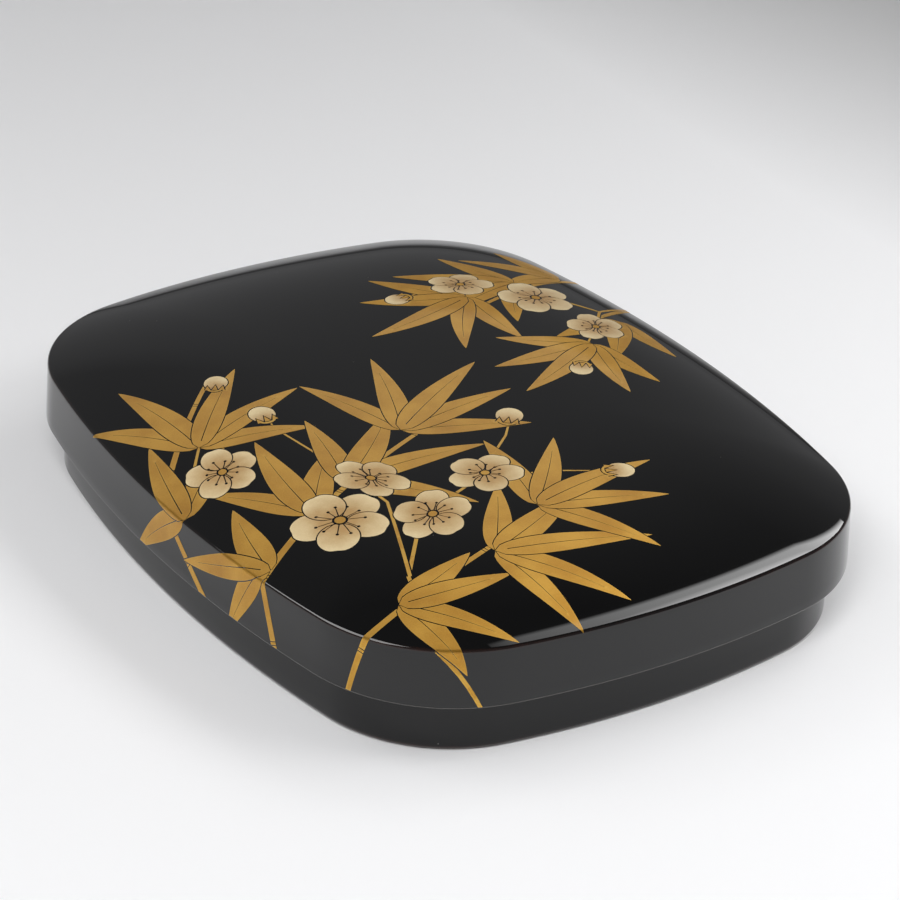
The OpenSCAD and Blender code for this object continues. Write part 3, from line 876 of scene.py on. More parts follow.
def set_values(piece: bpy.types.Object, name: str, values: Sequence[float]) -> None:
    """Stores a number for each point of a piece, for its material to read."""
    attribute = piece.data.attributes.new(name, "FLOAT", "POINT")
    attribute.data.foreach_set("value", list(values))


# ---------------------------------------------------------------------------------------------
# Lid and base

@dataclass
class Lid:
    """The domed lid with its skirt, as one lacquered shell."""

    skirt_low: float = 17.7
    rim: float = 31.5
    edge: float = 36.7
    rise: float = 10.9            # the solid's is 11; the coats of decoration fill the rest
    power: float = 4.2
    top_t: float = 4.4
    edge_round: float = 1.2
    lip_round: float = 0.55
    flare: float = 0.7
    wall: float = 4.9
    seat_in: float = 12.5
    inner_edge: float = 0.4       # chamfer of the inside's edges
    seat_ease: float = 0.04       # how far the seat's inner edge rises above the seat
    dome_steps: int = 46
    edge_steps: int = 8
    skirt_steps: int = 6
    lip_steps: int = 6
    inner_steps: int = 24
    lip_highlight_rings: tuple[int, ...] = (1, 2, 3)      # the lip's rings that carry the painted highlight
    lip_unlit_spot: Point = (-70.0, -100.0)                # where the lip's painted highlight is left out
    lip_unlit_reach: Range = (45.0, 110.0)            # how far the painted highlight keeps from there, and how it sets in

    def __post_init__(self) -> None:
        """Works out the dome's slope at its edge and where the outside's parts meet."""
        self.edge_slope = math.atan(self.rise * self.power / (OUTLINE.width / 2))
        self.dome_inset = self.flare + self.edge_round * (1 - math.sin(self.edge_slope))
        self.slant_top = self.edge - self.edge_round * math.cos(self.edge_slope)
        self.slant_foot = self.skirt_low + self.lip_round

    def dome_height(self, share: float) -> float:
        """Height of the dome at a share of the way from its middle to its edge."""
        return self.edge + self.rise * (1 - share ** self.power)

    def rings(self) -> tuple[list, list[float], list[float], int]:
        """The shell's rings, from the top of the dome round the skirt to the top of the inside.

        Returns:
            The rings, how thin the lacquer is on each and how much of the painted highlight along the
            lower edge it carries, and the number of the first ring of the inside.
        """
        rings, thin, dull = [], [], []

        def add(inset: float, height: float, share: float = 1.0, worn: float = 0.0,
                rubbed: float = 0.0) -> None:
            """Adds one ring.

            Args:
                inset: How far inside the lid's lower edge it runs.
                height: Its height.
                share: How far it is drawn in towards the middle.
                worn: How thin the lacquer is on it.
                rubbed: How much of the painted highlight along the lower edge it carries.
            """
            rings.append(OUTLINE.ring(inset, height, share))
            thin.append(worn)
            dull.append(rubbed)

        for i in range(1, self.dome_steps + 1):
            share = math.sin(math.pi / 2 * i / self.dome_steps)
            add(self.dome_inset, self.dome_height(share), share)
        for i in range(1, self.edge_steps + 1):
            a = self.edge_slope + (math.pi / 2 - self.edge_slope) * i / self.edge_steps
            worn = math.sin(math.pi * i / self.edge_steps) ** 0.5 if i < self.edge_steps else 0.0
            add(self.flare + self.edge_round * (1 - math.sin(a)),
                self.edge - self.edge_round * (math.cos(self.edge_slope) - math.cos(a)), worn=worn)
        for i in range(1, self.skirt_steps):
            t = i / self.skirt_steps
            add(self.flare * (1 - t), self.slant_top + (self.slant_foot - self.slant_top) * t)
        for i in range(self.lip_steps + 1):
            a = math.pi / 2 * i / self.lip_steps
            add(self.lip_round * (1 - math.cos(a)), self.skirt_low + self.lip_round * (1 - math.sin(a)),
                rubbed=float(i in self.lip_highlight_rings))
        inner_from = len(rings)
        add(self.wall - self.inner_edge, self.skirt_low)
        add(self.wall, self.skirt_low + self.inner_edge)
        add(self.wall, self.rim)
        add(self.seat_in - self.inner_edge, self.rim)
        add(self.seat_in, self.rim + self.seat_ease)
        inner_rise = self.edge + self.rise - self.top_t - self.rim
        for i in range(self.inner_steps - 1, 0, -1):
            share = math.sin(math.pi / 2 * i / self.inner_steps)
            add(self.seat_in, self.rim + inner_rise * (1 - share ** self.power), share)
        return rings, thin, dull, inner_from

    def build(self, outside: bpy.types.Material, inside: bpy.types.Material) -> None:
        """Builds the shell and puts it on its body.

        Args:
            outside: The finish of its outside.
            inside: The finish of its inside.
        """
        rings, thin, dull, inner_from = self.rings()
        top = self.edge + self.rise
        points, faces, starts = skin(rings, (0, 0, top), (0, 0, top - self.top_t))
        piece = new_piece("lid_shell", points, faces, [outside, inside], 40,
                          [int(j >= inner_from) for j in starts])
        set_values(piece, "edge_thin", wear(thin))
        # painted highlight on the lip's rings, left out near the lid's near left corner
        keep, fade = self.lip_unlit_reach
        hands = [min(1.0, max(0.0, (math.dist(p[:2], self.lip_unlit_spot) - keep) / fade)) for p in rings[-1]]
        set_values(piece, "lip_highlight", [w * h for w in dull for h in hands] + [0.0, 0.0])
        place(piece, "lid", "black_lacquer", "lid", "lid_skirt")

    def surface(self, x: float, y: float, lift: float) -> Triple:
        """Lays a point of a flat drawing on the lid: over the dome, round its edge and down the skirt.

        Args:
            x: The point's place across the drawing.
            y: The point's place along the drawing.
            lift: How far off the surface it lies.

        Returns:
            Its place in millimetres.
        """
        share, edge, normal = OUTLINE.edge_point(x, y, self.dome_inset)
        if share <= 1:
            fall = self.rise * self.power * share ** (self.power - 1) / normal.dot(edge)
            up = Vector((fall * normal.x, fall * normal.y, 1)).normalized()
            spot = Vector((x, y, self.dome_height(share))) + lift * up
            return spot.x, spot.y, spot.z
        gap, foot, normal = OUTLINE.beyond(x, y, self.dome_inset)
        bend = self.edge_round * (math.pi / 2 - self.edge_slope)
        if gap < bend:
            a = self.edge_slope + gap / self.edge_round
            out = self.edge_round * (math.sin(a) - math.sin(self.edge_slope))
            height = self.edge - self.edge_round * (math.cos(self.edge_slope) - math.cos(a))
            out += lift * math.sin(a)
            height += lift * math.cos(a)
        else:
            height = self.slant_top - (gap - bend)
            out = (self.dome_inset - self.flare
                   + self.flare * (gap - bend) / (self.slant_top - self.slant_foot) + lift)
        return foot.x + out * normal.x, foot.y + out * normal.y, height


@dataclass
class BaseBox:
    """The shallow base, whose rim the lid seats on."""

    rim: float = 31.5
    outer_in: float = 5.5
    inner_in: float = 9.5
    floor: float = 4.5
    rim_round: float = 0.8
    foot_round: float = 2.2       # the solid's is 1.6; the lacquer is worn rounder
    foot_w: float = 6.4
    hollow: float = 1.0
    cove: float = 1.0             # radius of the lacquer's build-up where wall and floor meet
    inner_ease: float = 0.3       # size of the rim's worn inner edge
    inner_dip: float = 0.09       # how far that edge's middle lies from its corner
    floor_shares: tuple[float, ...] = (0.25, 0.5, 0.75, 0.9)
    cove_steps: int = 4
    rim_steps: int = 6
    wall_steps: int = 6
    foot_steps: int = 8
    rim_wear: float = 0.7         # wear of the rim's outer edge, where the foot's is 1

    def build(self, outside: bpy.types.Material, inside: bpy.types.Material) -> None:
        """Builds the base and puts it on its body.

        Args:
            outside: The finish of its outside.
            inside: The finish of its inside.
        """
        rings, thin = [], []

        def add(inset: float, height: float, worn: float = 0.0, share: float = 1.0) -> None:
            """Adds one ring and how thin the lacquer is on it."""
            rings.append(OUTLINE.ring(inset, height, share))
            thin.append(worn)

        for share in self.floor_shares:
            add(self.inner_in + self.cove, self.floor, share=share)
        for i in range(self.cove_steps + 1):
            a = math.pi / 2 * i / self.cove_steps
            add(self.inner_in + self.cove * (1 - math.sin(a)), self.floor + self.cove * (1 - math.cos(a)))
        add(self.inner_in, self.rim - self.inner_ease)
        add(self.inner_in - self.inner_dip, self.rim - self.inner_dip, 0.5)
        add(self.inner_in - self.inner_ease, self.rim, 0.3)
        outer_from = len(rings) - 1
        for i in range(self.rim_steps + 1):
            a = math.pi / 2 * i / self.rim_steps
            add(self.outer_in + self.rim_round * (1 - math.sin(a)),
                self.rim - self.rim_round * (1 - math.cos(a)),
                math.sin(math.pi * i / self.rim_steps) * self.rim_wear)
        for i in range(1, self.wall_steps):
            add(self.outer_in, self.rim - self.rim_round
                + (self.foot_round - self.rim + self.rim_round) * i / self.wall_steps)
        for i in range(self.foot_steps + 1):
            a = math.pi / 2 * i / self.foot_steps
            add(self.outer_in + self.foot_round * (1 - math.cos(a)),
                self.foot_round * (1 - math.sin(a)), math.sin(math.pi * i / self.foot_steps))
        add(self.outer_in + self.foot_round + self.foot_w, 0)
        add(self.outer_in + self.foot_round + self.foot_w, self.hollow)
        points, faces, starts = skin(rings, (0, 0, self.floor), (0, 0, self.hollow))
        piece = new_piece("base_shell", points, faces, [outside, inside], 40,
                          [int(j < outer_from) for j in starts])
        set_values(piece, "edge_thin", wear(thin))
        place(piece, "base", "black_lacquer", "base_box")


# ---------------------------------------------------------------------------------------------
# Decoration on the lid: bamboo grass in gold and plum blossoms in ivory

class Coat(Enum):
    """What covers a shape of the drawing."""

    BARE = 0
    GOLD = 1
    IVORY = 2


@dataclass
class Shape:
    """One closed shape of the drawing, which hides what was drawn before it."""

    coat: Coat
    line: list[Point]
    heart: Point | None = None
    reach: float = 1.0
    guide: list[Point] = field(default_factory=list)   # a line just outside, where the blend of a rim's painted highlight ends


@dataclass
class Drawing:
    """A flat drawing of leaves and blossoms in the lid's plan, in the order in which they overlap."""

    gap: float = 0.42             # bare line left between neighbours
    rim: float = 0.4              # width of the painted highlight along the rim of each shape
    spill: float = 0.06           # how far the gold of a leaf runs over its line
    vein_from: float = 0.34       # width of a leaf's vein at its root, and at its tip
    vein_to: float = 0.1
    shapes: list[Shape] = field(default_factory=list)
    dice: random.Random = field(default_factory=lambda: random.Random(11))

    def blade(self, root: Point, heading: float, length: float, width: float, bend: float = 0.0,
              vein: bool = True) -> None:
        """Draws a bamboo leaf: a short stalk, a full shoulder and a long fine tip.

        Args:
            root: Where its stalk starts.
            heading: Direction there, in degrees from the right.
            length: Length along its middle.
            width: Greatest width.
            bend: How far it turns along its way, in degrees.
            vein: Whether a bare line marks its middle.
        """
        def outline(grow: float) -> list[Point]:
            """The leaf's outline.

            Args:
                grow: How far outside the leaf it runs.

            Returns:
                Its points.
            """
            left, right = [], []
            steps = 22
            x, y = root
            for i in range(steps + 1):
                t = i / steps
                way = math.radians(heading + bend * t)
                swell = math.sin(math.pi * min(1.0, t) ** 0.62) ** 0.85 if 0 < t < 1 else 0.0
                half = max(0.01, width / 2 * swell + grow)
                left.append((x - half * math.sin(way), y + half * math.cos(way)))
                right.append((x + half * math.sin(way), y - half * math.cos(way)))
                x += length / steps * math.cos(way)
                y += length / steps * math.sin(way)
            return right + left[::-1]

        self.shapes += [Shape(Coat.BARE, outline(self.gap), guide=outline(self.gap + self.rim)),
                        Shape(Coat.GOLD, outline(self.spill)),
                        Shape(Coat.GOLD, outline(self.spill - self.rim))]
        if vein:
            middle = self.spine(root, heading, length, bend, 0.06, 0.82)
            self.stroke(middle, self.vein_from + 2 * self.rim, self.vein_to + 2 * self.rim, Coat.GOLD)
            self.stroke(middle, self.vein_from, self.vein_to, Coat.BARE)

    @staticmethod
    def spine(root: Point, heading: float, length: float, bend: float, low: float,
              high: float) -> list[Point]:
        """Points along the middle of a leaf or stem.

        Args:
            root: Where it starts.
            heading: Direction there, in degrees from the right.
            length: Its length.
            bend: How far it turns along its way, in degrees.
            low: Share of its length where the points start.
            high: Share where they end.

        Returns:
            The points.
        """
        points, steps = [], 40
        x, y = root
        for i in range(steps + 1):
            if low <= i / steps <= high:
                points.append((x, y))
            way = math.radians(heading + bend * i / steps)
            x += length / steps * math.cos(way)
            y += length / steps * math.sin(way)
        return points

    def stroke(self, path: Sequence[Point], start: float, end: float, coat: Coat) -> None:
        """Draws a line of tapering width.

        Args:
            path: The points along its middle.
            start: Its width at its first point.
            end: Its width at its last point.
            coat: What covers it.
        """
        left, right = [], []
        for i, (x, y) in enumerate(path):
            a = path[max(0, i - 1)]
            b = path[min(len(path) - 1, i + 1)]
            away = math.hypot(b[0] - a[0], b[1] - a[1]) or 1.0
            half = (start + (end - start) * i / (len(path) - 1)) / 2
            nx, ny = -(b[1] - a[1]) / away * half, (b[0] - a[0]) / away * half
            left.append((x + nx, y + ny))
            right.append((x - nx, y - ny))
        self.shapes.append(Shape(coat, right + left[::-1]))

    def stem(self, root: Point, heading: float, length: float, bend: float, width: float = 2.6) -> None:
        """Draws a cane with its joints, each of two bare lines.

        Args:
            root: Where it starts.
            heading: Direction there, in degrees from the right.
            length: Its length.
            bend: How far it turns along its way, in degrees.
            width: Its width at its root, which is twice that at its tip.
        """
        path = self.spine(root, heading, length, bend, 0, 1)
        for grow, coat in ((self.gap, Coat.BARE), (0.0, Coat.GOLD), (-self.rim, Coat.GOLD)):
            self.stroke(path, width + 2 * grow, width * 0.5 + 2 * grow, coat)
        for i in range(5, len(path) - 2, 6):
            (x, y), (u, v) = path[i], path[i + 1]
            away = math.hypot(u - x, v - y)
            nx, ny = -(v - y) / away, (u - x) / away
            half = width * (0.62 - 0.3 * i / len(path))
            for step in (-0.55, 0.55):
                p, q = x + step * ny, y - step * nx
                self.stroke([(p + half * nx, q + half * ny), (p - half * nx, q - half * ny)], 0.3, 0.3,
                            Coat.BARE)

    def twig(self, points: Sequence[Point], width: float = 1.5) -> None:
        """Draws a plum twig, which kinks at its buds and thins out.

        Args:
            points: Its kinks, from its thick end.
            width: Its width there.
        """
        path: list[Point] = []
        for (x, y), (u, v) in zip(points, points[1:]):
            path.extend((x + (u - x) * t / 6, y + (v - y) * t / 6) for t in range(6))
        path.append(points[-1])
        self.stroke(path, width + 2 * self.gap, width * 0.4 + 2 * self.gap, Coat.BARE)
        self.stroke(path, width, width * 0.4, Coat.GOLD)

    def fan(self, root: Point, heading: float, count: int, spread: float, length: float,
            width: float) -> None:
        """Draws a hand of leaves from one joint, the middle one last and longest.

        Args:
            root: The joint.
            heading: Direction of the middle leaf, in degrees from the right.
            count: Number of leaves.
            spread: Angle between the middle leaf and an outer one, in degrees.
            length: Length of the middle leaf.
            width: Width of a leaf.
        """
        centre = (count - 1) / 2
        for i in sorted(range(count), key=lambda i: -abs(i - centre)):
            off = (i - centre) / max(1, centre)
            self.blade(root, heading + spread * off + self.dice.uniform(-5, 5),
                       length * (1 - 0.22 * abs(off)) * self.dice.uniform(0.92, 1.06),
                       width * self.dice.uniform(0.9, 1.08),
                       self.dice.uniform(6, 16) * (1 if off > 0 else -1))

    def disc(self, at: Point, radius: float, coat: Coat, squeeze: float = 1.0, turn: float = 0.0,
             points: int = 14) -> None:
        """Draws a round dot, or an oval one.

        Args:
            at: Its middle.
            radius: Its radius, along its length where it is oval.
            coat: What covers it.
            squeeze: Its width as a share of its length.
            turn: Direction of its length, in radians.
            points: Number of points round it.
        """
        c, s = math.cos(turn), math.sin(turn)
        line = []
        for i in range(points):
            a = 2 * math.pi * i / points
            u, v = radius * math.cos(a), radius * squeeze * math.sin(a)
            line.append((at[0] + u * c - v * s, at[1] + u * s + v * c))
        self.shapes.append(Shape(coat, line))

    @staticmethod
    def turned(heart: Point, x: float, y: float, squeeze: float, tilt: float) -> Point:
        """Where a point of a flower shows once the flower is turned away.

        Args:
            heart: The flower's middle.
            x: The point's place across the flower.
            y: The point's place along it.
            squeeze: How narrow the flower looks.
            tilt: Direction that keeps its full width, in radians.

        Returns:
            The point's place in the drawing.
        """
        c, s = math.cos(tilt), math.sin(tilt)
        p, q = x * c + y * s, (-x * s + y * c) * squeeze
        return heart[0] + p * c - q * s, heart[1] + p * s + q * c

    def petal(self, heart: Point, way: float, radius: float, squeeze: float, tilt: float,
              grow: float) -> list[Point]:
        """Outline of a round plum petal with a slight dent at its outer edge.

        Args:
            heart: The flower's middle.
            way: Direction of the petal, in radians.
            radius: From the flower's middle to the petal's end.
            squeeze: How narrow the flower looks.
            tilt: Direction that keeps its full width, in radians.
            grow: How far outside the petal's own line the outline runs.

        Returns:
            The outline's points.
        """
        line, points = [], 34
        for i in range(points):
            a = 2 * math.pi * i / points
            dent = 1 - 0.09 * math.exp(-(math.atan2(math.sin(a), math.cos(a)) / 0.28) ** 2)
            u = radius * 0.56 + (radius * 0.43 * dent + grow) * math.cos(a)
            v = (radius * 0.41 + grow) * math.sin(a)
            x, y = u * math.cos(way) - v * math.sin(way), u * math.sin(way) + v * math.cos(way)
            line.append(self.turned(heart, x, y, squeeze, tilt))
        return line

    def blossom(self, heart: Point, radius: float, turn: float, squeeze: float = 1.0,
                tilt: float = 0.0) -> None:
        """Draws a plum blossom: five petals, a heart and stamens.

        Args:
            heart: Its middle.
            radius: From the middle to the petals' ends.
            turn: Direction of its first petal, in degrees.
            squeeze: How narrow it looks where it is turned away.
            tilt: Direction that keeps its full width, in degrees.
        """
        turn, tilt = math.radians(turn), math.radians(tilt)
        ways = [turn + 2 * math.pi * i / 5 for i in (0, 2, 4, 1, 3)]

        def petal(way: float, grow: float) -> list[Point]:
            """The outline of one petal."""
            return self.petal(heart, way, radius, squeeze, tilt, grow)

        def spot(way: float, far: float) -> Point:
            """A point some way out from the heart."""
            return self.turned(heart, far * math.cos(way), far * math.sin(way), squeeze, tilt)

        self.shapes += [Shape(Coat.BARE, petal(way, self.gap)) for way in ways]
        for way in ways:
            self.shapes += [Shape(Coat.BARE, petal(way, self.gap)),
                            Shape(Coat.IVORY, petal(way, 0.0), heart, radius)]
        stamens = 11
        for i in range(stamens):
            way = turn + 2 * math.pi * (i + 0.5) / stamens + self.dice.uniform(-0.09, 0.09)
            end = radius * self.dice.uniform(0.36, 0.5)
            self.stroke([spot(way, radius * 0.1), spot(way, end * 0.6), spot(way, end)], 0.42, 0.3,
                        Coat.BARE)
            self.disc(spot(way, end), 0.55, Coat.BARE, squeeze, tilt, 8)
        self.disc(heart, radius * 0.16, Coat.BARE, squeeze, tilt)
        self.disc(heart, radius * 0.11, Coat.GOLD, squeeze, tilt)

    def bud(self, at: Point, radius: float, way: float) -> None:
        """Draws a closed bud in its cup of sepals.

        Args:
            at: The middle of the bud.
            radius: Its radius.
            way: Direction in which it points, in degrees.
        """
        a = math.radians(way)

        def spot(far: float, side: float) -> Point:
            """A point ahead of the bud's middle and to its side, in radii."""
            return (at[0] + radius * (far * math.cos(a) - side * math.sin(a)),
                    at[1] + radius * (far * math.sin(a) + side * math.cos(a)))

        for grow, coat in ((self.gap, Coat.BARE), (0.0, Coat.GOLD)):
            self.disc(spot(-0.5, 0), radius * 0.8 + grow, coat, 0.9, a, 18)
        for grow, coat in ((self.gap, Coat.BARE), (0.0, Coat.IVORY)):
            self.disc(at, radius + grow, coat, 0.88, a, 22)
        self.shapes[-1].heart, self.shapes[-1].reach = spot(-0.9, 0), radius * 1.6
        for side in (-0.52, 0.0, 0.52):
            low = 0.2 * abs(side)
            self.shapes += [
                Shape(Coat.BARE, [spot(-1, side - 0.3), spot(-0.12 - low, side * 1.15),
                                  spot(-1, side + 0.3)]),
                Shape(Coat.GOLD, [spot(-1, side - 0.2), spot(-0.3 - low, side * 1.12),
                                  spot(-1, side + 0.2)])]

    def spray(self, spray: "Spray") -> None:
        """Draws one spray, kind by kind: its flowers lie over its leaves, and these over its canes.

        Args:
            spray: The spray's parts.
        """
        for draw, parts in ((self.stem, spray.stems), (self.twig, spray.twigs), (self.fan, spray.fans),
                            (self.blossom, spray.blossoms), (self.bud, spray.buds)):
            for part in parts:
                draw(*part)


@dataclass(frozen=True)
class Spray:
    """The parts of one spray: what each of the drawing's functions is given, in millimetres and degrees."""

    stems: tuple[tuple, ...]
    twigs: tuple[tuple, ...]
    fans: tuple[tuple, ...]
    blossoms: tuple[tuple, ...]
    buds: tuple[tuple, ...]


FULL_SPRAY = Spray(
    stems=(((-126, -74), 31, 134, -9), ((-127, -47), 60, 112, -16), ((-122, -103), 8, 118, 13, 2.3)),
    twigs=(([(-66, -141), (-72, -112), (-64, -84), (-46, -62), (-20, -52), (2, -34), (8, -27)],),
           ([(-63.5, -84), (-50, -50), (-52, -24), (-56, 4), (-55, 12)], 1.1),
           ([(-104, -11), (-88, -2), (-76, 14), (-62, 30), (-58, 36)], 1.1),
           ([(-20, -52), (2, -58), (18, -66)], 0.9)),
    fans=(((-92, -55), 120, 3, 34, 40, 8.6), ((-98, -16), 84, 3, 36, 42, 8.4),
          ((-79, 10), 52, 5, 62, 48, 9.0), ((-70, -42), 84, 3, 30, 44, 9.2),
          ((-72, -92), -30, 4, 44, 40, 8.2), ((-54, -34), 20, 4, 58, 50, 9.6),
          ((-36, -86), -12, 5, 62, 46, 8.8), ((-24, -16), 38, 5, 60, 50, 9.4),
          ((-12, -72), 14, 5, 62, 48, 9.0)),
    blossoms=(((-66, -50), 15.0, 20), ((-42, -62), 14.0, 65, 0.8, 30), ((-47, -36), 13.0, 100, 0.72, 115),
              ((-80, -6), 12.5, 5, 0.9, 60), ((-16, -50), 12.5, 40, 0.85, 0)),
    buds=(((-55, 14), 4.6, 84), ((-57, 39), 4.2, 56), ((10, -24), 4.8, 48), ((21, -67), 4.4, -22)))
LIGHT_SPRAY = Spray(
    stems=(((126, 68), 191, 99, 13, 2.3), ((126, 52), 213, 90, -12, 2.3)),
    twigs=(([(122, 30), (98, 36), (82, 30), (70, 44), (50, 58), (32, 62), (26, 61)], 1.3),
           ([(82, 30), (72, 18), (56, 2), (50, -5)], 1.0)),
    fans=(((88, 62), 150, 3, 36, 36, 7.8), ((66, 57), 172, 4, 58, 42, 8.4),
          ((44, 52), 196, 5, 64, 42, 8.4), ((84, 22), 236, 3, 36, 38, 8.0),
          ((62, 6), 214, 5, 62, 42, 8.4)),
    blossoms=(((66, 44), 13.0, 15), ((48, 62), 11.5, 50, 0.78, 160), ((72, 18), 11.5, 80, 0.85, 40)),
    buds=(((23, 61), 4.2, 186), ((48, -8), 4.2, 230)))


def draw_lid() -> Drawing:
    """Draws the lid's decoration.

    Returns:
        A full spray from the near left edge and a light one from the right.
    """
    art = Drawing()
    art.spray(FULL_SPRAY)
    art.spray(LIGHT_SPRAY)
    return art


@dataclass
class LidDecoration:
    """Lays the drawing on the lid as two thin coats."""

    lid: Lid
    gold_lift: float = 0.055
    ivory_lift: float = 0.085
    sunk: float = 0.03            # how far the coats reach into the lacquer
    grid: float = 3.0             # distance between the points that follow the dome
    margin: float = 20.0          # how far these go on beyond the lid, for what folds over the skirt
    edge_free: float = 1.2        # how far they keep from the lid's rounded edge, which has loops of its own
    joined: float = 1e-4          # distance under which two points are one

    def cells(self, art: Drawing) -> tuple[list[Vector], list[tuple[Sequence[int], Shape]]]:
        """Splits the drawing into triangles, each of which belongs to the shape on top there.

        Args:
            art: The drawing.

        Returns:
            The triangles' points, and each triangle with its shape.
        """
        points: list[Vector] = []
        lines: list[tuple[int, int]] = []

        def add(line: Iterable[Sequence[float]]) -> range:
            """Adds points.

            Args:
                line: The points.

            Returns:
                Their numbers.
            """
            first = len(points)
            points.extend(Vector(p) for p in line)
            return range(first, len(points))

        def add_loop(line: Iterable[Sequence[float]]) -> None:
            """Adds points that stay joined in a closed line."""
            loop = add(line)
            lines.extend((k, loop[(i + 1) % len(loop)]) for i, k in enumerate(loop))

        outlines = [list(add(shape.line)) for shape in art.shapes]
        for shape in art.shapes:
            add_loop(shape.guide)
        bend = self.lid.edge_round * (math.pi / 2 - self.lid.edge_slope)
        down = bend + self.lid.slant_top - self.lid.slant_foot
        for out in (0.0, bend * 0.25, bend * 0.5, bend * 0.75, bend, down):
            add_loop(OUTLINE.plan(self.lid.dome_inset - out))
        half_w, half_l = OUTLINE.width / 2 + self.margin, OUTLINE.length / 2 + self.margin
        rows, columns = int(2 * half_l / self.grid), int(2 * half_w / self.grid)
        for j in range(rows + 1):
            for i in range(columns + 1):
                x = -half_w + (i + 0.5 * (j % 2)) * self.grid
                y = -half_l + j * self.grid
                if abs(OUTLINE.beyond(x, y, self.lid.dome_inset - bend / 2)[0]) > self.edge_free:
                    points.append(Vector((x, y)))
        spots, _, triangles, _, _, owners = delaunay_2d_cdt(points, lines, outlines, 0, self.joined, True)
        cells = []
        for triangle, owner in zip(triangles, owners):
            if owner:
                middle = sum((spots[k] for k in triangle), Vector((0, 0))) / 3
                if OUTLINE.beyond(*middle, self.lid.dome_inset)[0] < down:
                    cells.append((triangle, art.shapes[max(owner)]))
        return spots, cells

    def coat(self, name: str, kind: Coat, spots: Sequence[Vector],
             cells: Sequence[tuple[Sequence[int], Shape]], lift: float, material: bpy.types.Material,
             slot: str) -> None:
        """Builds one coat as a thin closed film.

        Args:
            name: Name of the piece.
            kind: The coat.
            spots: Points of the flat drawing.
            cells: Triangles with their shapes.
            lift: Height of the coat over the lacquer.
            material: Its finish.
            slot: The record's material slot.
        """
        mine = [(t, s) for t, s in cells if s.coat is kind]
        numbers: dict[int, int] = {}
        warmth: list[float] = []
        for triangle, shape in mine:
            for k in triangle:
                if k not in numbers:
                    numbers[k] = len(numbers)
                    far = (spots[k] - Vector(shape.heart)).length / shape.reach if shape.heart else 1.0
                    warmth.append(max(0.0, 1 - far))
        order = sorted(numbers, key=numbers.get)
        count = len(order)
        points = [self.lid.surface(*spots[k], lift) for k in order]
        points += [self.lid.surface(*spots[k], -self.sunk) for k in order]
        faces, edges = [], {}
        for triangle, _ in mine:
            a, b, c = (numbers[k] for k in triangle)
            faces.append((a, b, c))
            faces.append((a + count, c + count, b + count))
            for pair in ((a, b), (b, c), (c, a)):
                edges[pair] = edges.get(pair, 0) + 1
        # the points on a coat's edge carry the rim value, which the gold paints as a highlight
        rim = [0.0] * count
        for a, b in edges:
            if (b, a) not in edges:
                faces.append((b, a, a + count, b + count))
                rim[a] = rim[b] = 1.0
        piece = new_piece(name, points, faces, [material], 50)
        set_values(piece, "heart", warmth + warmth)
        set_values(piece, "rim", rim + rim)
        place(piece, "lid", slot)

    def build(self, gold: bpy.types.Material, ivory: bpy.types.Material) -> None:
        """Builds both coats.

        Args:
            gold: The finish of the leaves.
            ivory: The finish of the blossoms.
        """
        spots, cells = self.cells(draw_lid())
        self.coat("lid_gold_leaves", Coat.GOLD, spots, cells, self.gold_lift, gold, "gold_makie")
        self.coat("lid_ivory_blossoms", Coat.IVORY, spots, cells, self.ivory_lift, ivory, "ivory_makie")


# ---------------------------------------------------------------------------------------------
# Contents of the box

@dataclass
class BrushHair:
    """The hair of one brush, set to a point: a full belly, fine locks and a long tip."""

    name: str
    node: str
    body: str
    axis: Point                   # place of the brush's axis across the box, and its height
    mouth: float                  # where the hair leaves its socket, along the box
    root_r: float
    free_l: float
    root_l: float = 6.0
    belly: float = 0.14
    tip_r: float = 0.25
    locks: int = 12
    groove: float = 0.075         # depth of the grooves between locks and hairs, as a share of the radius
    sides: int = 120
    steps: int = 46

    def radius(self, share: float) -> float:
        """Radius at a share of the free length, fullest a fifth of the way to the tip."""
        swell = 1 + self.belly * math.sin(math.pi * min(1.0, share / 0.4))
        return self.tip_r + (self.root_r - self.tip_r) * swell * math.sqrt(max(0.0, 1 - share ** 1.7))

    def build(self, material: bpy.types.Material) -> None:
        """Builds the hair and puts it on its body.

        Args:
            material: Its finish.
        """
        dice = random.Random(5)
        depths = [dice.uniform(0, 1) for _ in range(self.sides)]
        x, z = self.axis
        tip, root = self.mouth + self.free_l, self.mouth - self.root_l
        turns = [2 * math.pi * i / self.sides for i in range(self.sides)]
        rings = []
        for j in range(self.steps, -1, -1):
            share = j / self.steps
            groove = self.groove * math.sin(math.pi * math.sqrt(share))
            ring = []
            for i, a in enumerate(turns):
                lock, hair = (1 - math.cos(self.locks * a)) / 2, depths[i] * (i % 2)
                r = self.radius(share) * (1 - groove * (0.5 * lock + 0.5 * hair))
                ring.append((x + r * math.cos(a), self.mouth + self.free_l * share, z - r * math.sin(a)))
            rings.append(ring)
        rings.append([(x + self.root_r * math.cos(a), root, z - self.root_r * math.sin(a)) for a in turns])
        points, faces, _ = skin(rings, (x, tip, z), (x, root, z))
        place(new_piece(self.name, points, faces, [material], 60), self.body, "hair", self.node)


